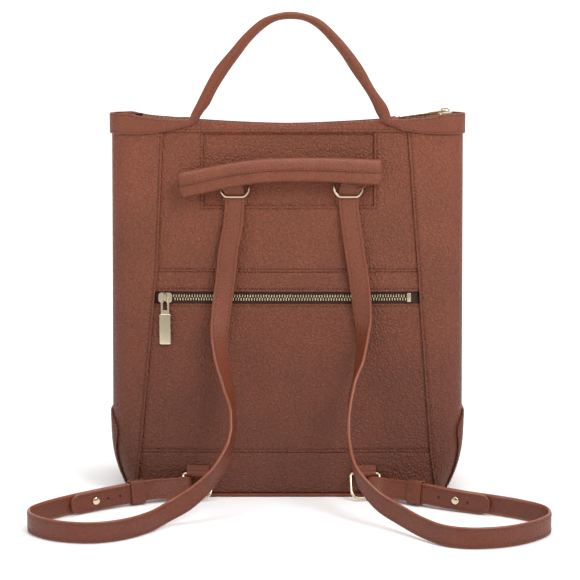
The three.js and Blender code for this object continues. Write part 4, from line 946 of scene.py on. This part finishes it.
for word in ("left", "right"):
    x = topRings[word] * bagHalfWidth
    hang = math.sqrt(ring["drop"] ** 2 - (ringBarAway - ringTopAway) ** 2)
    top, bottom = onPanel(x, topRingHeight, ringTopAway), onPanel(x, topRingHeight - hang, ringBarAway)
    addRing(f"{word}_top_ring", top, (bottom - top).normalized())
    addRing(f"{word}_low_ring", *lowRingPlace(lowRings[word]))

# Shoulder pad: two halves lapped along a stitched seam, crowned and soft at its ends
padThick = 11
padAway = ringTopAway + rollRadius + 3 * gap + strapThick + gap
padLine = [Vector((x * bagHalfWidth, up * rimHeight, tall * rimHeight))
           for x, up, tall in padRows]
padSteps, padLength = 60, 194
padSections, padSeam = [], []
for k in range(padSteps + 1):
    share = k / padSteps
    here, ahead = catmull(padLine, share, True), tangentAt(padLine, share)
    slope = math.atan2(ahead.y, ahead.x)
    tall = here.z / 2
    edge = min(share, 1 - share) * padLength
    plump = 1 - 0.16 * bell(edge, 0, 4)
    ripple = 0.16 * math.sin(share * 61) + 0.12 * math.sin(share * 97 + 1)
    outline = [
        (-0.72, 0.0), (-0.9, 0.12), (-0.985, 0.32), (-1, 0.5), (-0.955, 0.7), (-0.84, 0.84),
        (-0.62, 0.9), (-0.36, 0.9), (-0.14, 0.875), (-0.03, 0.84), (0, 0.86), (0, 0.98),
        (0.03, 1.0), (0.14, 0.985), (0.4, 0.99), (0.62, 0.96), (0.84, 0.87), (0.955, 0.71),
        (1.0, 0.5), (0.985, 0.32), (0.9, 0.12), (0.72, 0.0)]

    def padPoint(up, out):
        rise = up * tall
        lift = out * padThick * plump + (ripple if out > 0.6 else 0)
        return plainSkin(here.x - rise * math.sin(slope), here.y + rise * math.cos(slope), padAway + lift)

    padSections.append([padPoint(up, out) for up, out in outline])
    padSeam.append(padPoint(0.13, 1.0))
pad = addLoft("shoulder_pad_leather", padSections, strapLeather)
settle(pad, "leather", "shoulder_pad")
stitchLines.append(padSeam[1:-1])
print("stage: pad made")

# Straps
panelOut = Vector((0, -rimHeight, body["baseHalfDepth"] - body["rimHalfDepth"])).normalized()
loopDepth, tailGap = 160, 0.4
passStart = dict(left=2, right=0)
armClear = ring["wire"] + gap + strapThick / 2 + 0.2
tailLength, foldReach = dict(left=104, right=101), dict(left=3, right=6)


def strapRoute(word):
    rows = leftStrapRows if word == "left" else rightStrapRows
    topX = abs(topRings[word]) * bagHalfWidth
    lowX = abs(lowRings[word])
    behindPad = padAway - gap - strapThick / 2
    bar = topRingHeight - ring["drop"]
    route = [(plainSkin(topX + out, bar + up, lerp(strapAway, behindPad, depth)), 0, 0, False)
             for out, up, depth in passRows[passStart[word]:]]
    for out, up, away, *turned in rows:
        twist, lean = turned or (90, 0)
        x, z = out * bagHalfWidth, up * rimHeight
        crown = crownAt(z) * max(0, 1 - (x / cornerAt(z)[1]) ** 2)
        route.append((Vector((x, -halfDepthAt(z) - crown - away * loopDepth, z)), twist, lean, False))
    top, down = lowRingPlace(lowX)
    lean = math.degrees(math.asin(lowRingLean / ring["drop"]))
    arm = top + down * (rollRadius + 3 * gap + strapWidth / 2) + Vector((ring["armHalf"], 0, 0))
    inward = Vector((-1, 0.1, 0)).normalized()
    front = inward.cross(down).normalized()
    middle = arm + inward * foldReach[word]
    route.append((arm - front * armClear, 90, lean, False))
    for k in range(7):
        angle = math.pi * k / 6
        route.append((middle - front * (armClear * math.cos(angle)) + inward * (armClear * math.sin(angle)),
                      90, lean, True))
    route.append((arm + front * armClear, 90, lean, False))
    return route


def strapFrames(route, step=4.0):
    places = [r[0] for r in route]
    turns = [Vector((r[1], r[2], 0)) for r in route]
    shares = []
    for i in range(len(route) - 1):
        parts = max(1, round((places[i] - places[i + 1]).length / step))
        shares += [(i + k / parts) / (len(route) - 1) for k in range(parts)]
    frames = []
    for share in shares + [1.0]:
        along, turn = tangentAt(places, share), catmull(turns, share, True)
        twist, lean = math.radians(turn.x), math.radians(turn.y)
        upright = Vector((0, math.sin(lean), math.cos(lean)))
        upright = (upright - along * upright.dot(along)).normalized()
        flat = panelOut.cross(along).normalized()
        width = upright if math.sin(twist) > 0.999 else (
            flat * math.cos(twist) + upright * math.sin(twist)).normalized()
        frames.append((catmull(places, share, True), along, width, along.cross(width).normalized()))
    return frames


halfW, halfT, soft = strapWidth / 2, strapThick / 2, 0.75
strapOutline = [
    (halfW, -halfT + soft), (halfW, halfT - soft), (halfW - soft, halfT), (halfW - 1.8, halfT),
    (halfW - 2.9, halfT - 0.2), (halfW - 4.2, halfT), (-halfW + 4.2, halfT), (-halfW + 2.9, halfT - 0.2),
    (-halfW + 1.8, halfT), (-halfW + soft, halfT), (-halfW, halfT - soft), (-halfW, -halfT + soft),
    (-halfW + soft, -halfT), (0, -halfT), (halfW - soft, -halfT)]
holes = []
for word, side in bothSides:
    def mirrored(point):
        return Vector((side * point.x, point.y, point.z))

    route = strapRoute(word)
    frames = strapFrames(route)
    armAt = route[[r[3] for r in route].index(True) - 1][0]
    armIndex = next(i for i, f in enumerate(frames) if (f[0] - armAt).length < 0.01)
    tail, run = [], 0.0
    for i in range(armIndex - 1, 0, -1):
        if run >= tailLength[word]:
            break
        run += (frames[i][0] - frames[i + 1][0]).length
        close = strapThick + tailGap
        apart = close + (2 * armClear - close) * max(0, 1 - run / 16) ** 2
        at, along, width, face = frames[i]
        tail.append((at - face * apart, -along, width, -face, run))
    sections = [[mirrored(f[0] + f[2] * a + f[3] * b) for a, b in strapOutline] for f in frames + tail]
    tip = tail[-1]
    for share in (0.2, 0.4, 0.58, 0.74, 0.87, 0.95, 0.985):
        narrow = math.sqrt(1 - share * share)
        sections.append([mirrored(tip[0] + tip[1] * (share * halfW) + tip[2] * (a * narrow) + tip[3] * b)
                         for a, b in strapOutline])
    piece = addLoft(f"{word}_strap_leather", sections, strapLeather, edgeFaces=(0, 1, 9, 10, 11, 14))
    settle(piece, "leather", f"{word}_strap")
    for offset in (halfW - 2.9, -halfW + 2.9):
        for part in (frames[6:armIndex], tail[3:]):
            stitchLines.append([mirrored(f[0] + f[2] * offset + f[3] * (halfT - 0.12)) for f in part])
    for spot in dict(left=(66, 78), right=(64, 92))[word]:
        near = min(tail, key=lambda f: abs(f[4] - spot))
        holes.append((mirrored(near[0] + near[3] * (halfT - 0.06)), mirrored(near[3]), mirrored(near[2])))
print("stage: straps made")

# Punched holes in the tails, drawn as dark discs on the strap: painted shade where the holes are
holeSides, points, faces = 20, [], []
for centre, out, wide in holes:
    start, along = len(points), out.cross(wide).normalized()
    for radius, lift in ((1.5, 0.0), (1.25, 0.16), (0.0, 0.1)):
        count = holeSides if radius else 1
        for k in range(count):
            a = 2 * math.pi * k / holeSides
            points.append(centre + (wide * math.cos(a) + along * math.sin(a)) * radius + out * lift)
    inner = start + holeSides
    for k in range(holeSides):
        other = (k + 1) % holeSides
        faces.append((start + k, start + other, inner + other, inner + k))
        faces.append((inner + k, inner + other, inner + holeSides))
piece = newPiece("strap_holes", points, faces, holeShade)
settle(piece, "leather")

addRows("seam_stitches", stitchLines, stitchPitch, stitchPiece, thread, "leather")
for template in (stitchPiece, toothPiece, lowToothPiece):
    bpy.data.objects.remove(template)
print("stage: stitches made")

# Camera at the photograph's angle
camera = newObject("camera", bpy.data.cameras.new("camera"))
camera.data.lens, camera.data.sensor_width = 100.6, 36
camera.location = (0.0024, -1.560, 0.440)
camera.rotation_euler = (math.radians(90 - 9.12), 0, 0)
bpy.context.scene.camera = camera

# Pale floor that rises into a backdrop
floorPoints = [Vector((x, y, z)) for x in (-6, 6) for y, z in (
    (-4, 0), (3, 0), (3.8, 0.12), (4.4, 0.5), (4.7, 1.2), (4.8, 5))]
floorFaces = [(k, k + 1, k + 7, k + 6) for k in range(5)]
floorMaterial = satin("studioFloor", "#fafafa", "#f6f5f5", 3.0, 0.55)
floor = newPiece("studio_floor", floorPoints, floorFaces, floorMaterial, scale=1)

studio = dict(world=0.62, key=36, fill=9, top=30, back=70)
world = bpy.data.worlds.new("studio")
world.use_nodes = True
sky = world.node_tree.nodes["Background"].inputs
sky["Color"].default_value, sky["Strength"].default_value = (1, 1, 1, 1), studio["world"]
bpy.context.scene.world = world


def addLight(name, place, target, size, power):
    light = newObject(name, bpy.data.lights.new(name, "AREA"))
    light.data.shape, light.data.size, light.data.size_y = "RECTANGLE", size[0], size[1]
    light.data.energy = power
    light.location = place
    light.rotation_euler = (Vector(target) - Vector(place)).to_track_quat("-Z", "Y").to_euler()


addLight("key", (1.3, -1.5, 1.8), (0, 0, 0.25), (1.2, 1.2), studio["key"])
addLight("fill", (-1.7, -1.3, 0.9), (0, 0, 0.2), (1.2, 1.6), studio["fill"])
addLight("top", (0, 0.1, 2.3), (0, 0, 0.2), (1.6, 1.2), studio["top"])
addLight("back", (0, 2.2, 2.6), (0, 4.4, 0.6), (4.0, 2.0), studio["back"])
bpy.context.scene.view_settings.view_transform = "Standard"
print("stage: camera, floor and lights made")
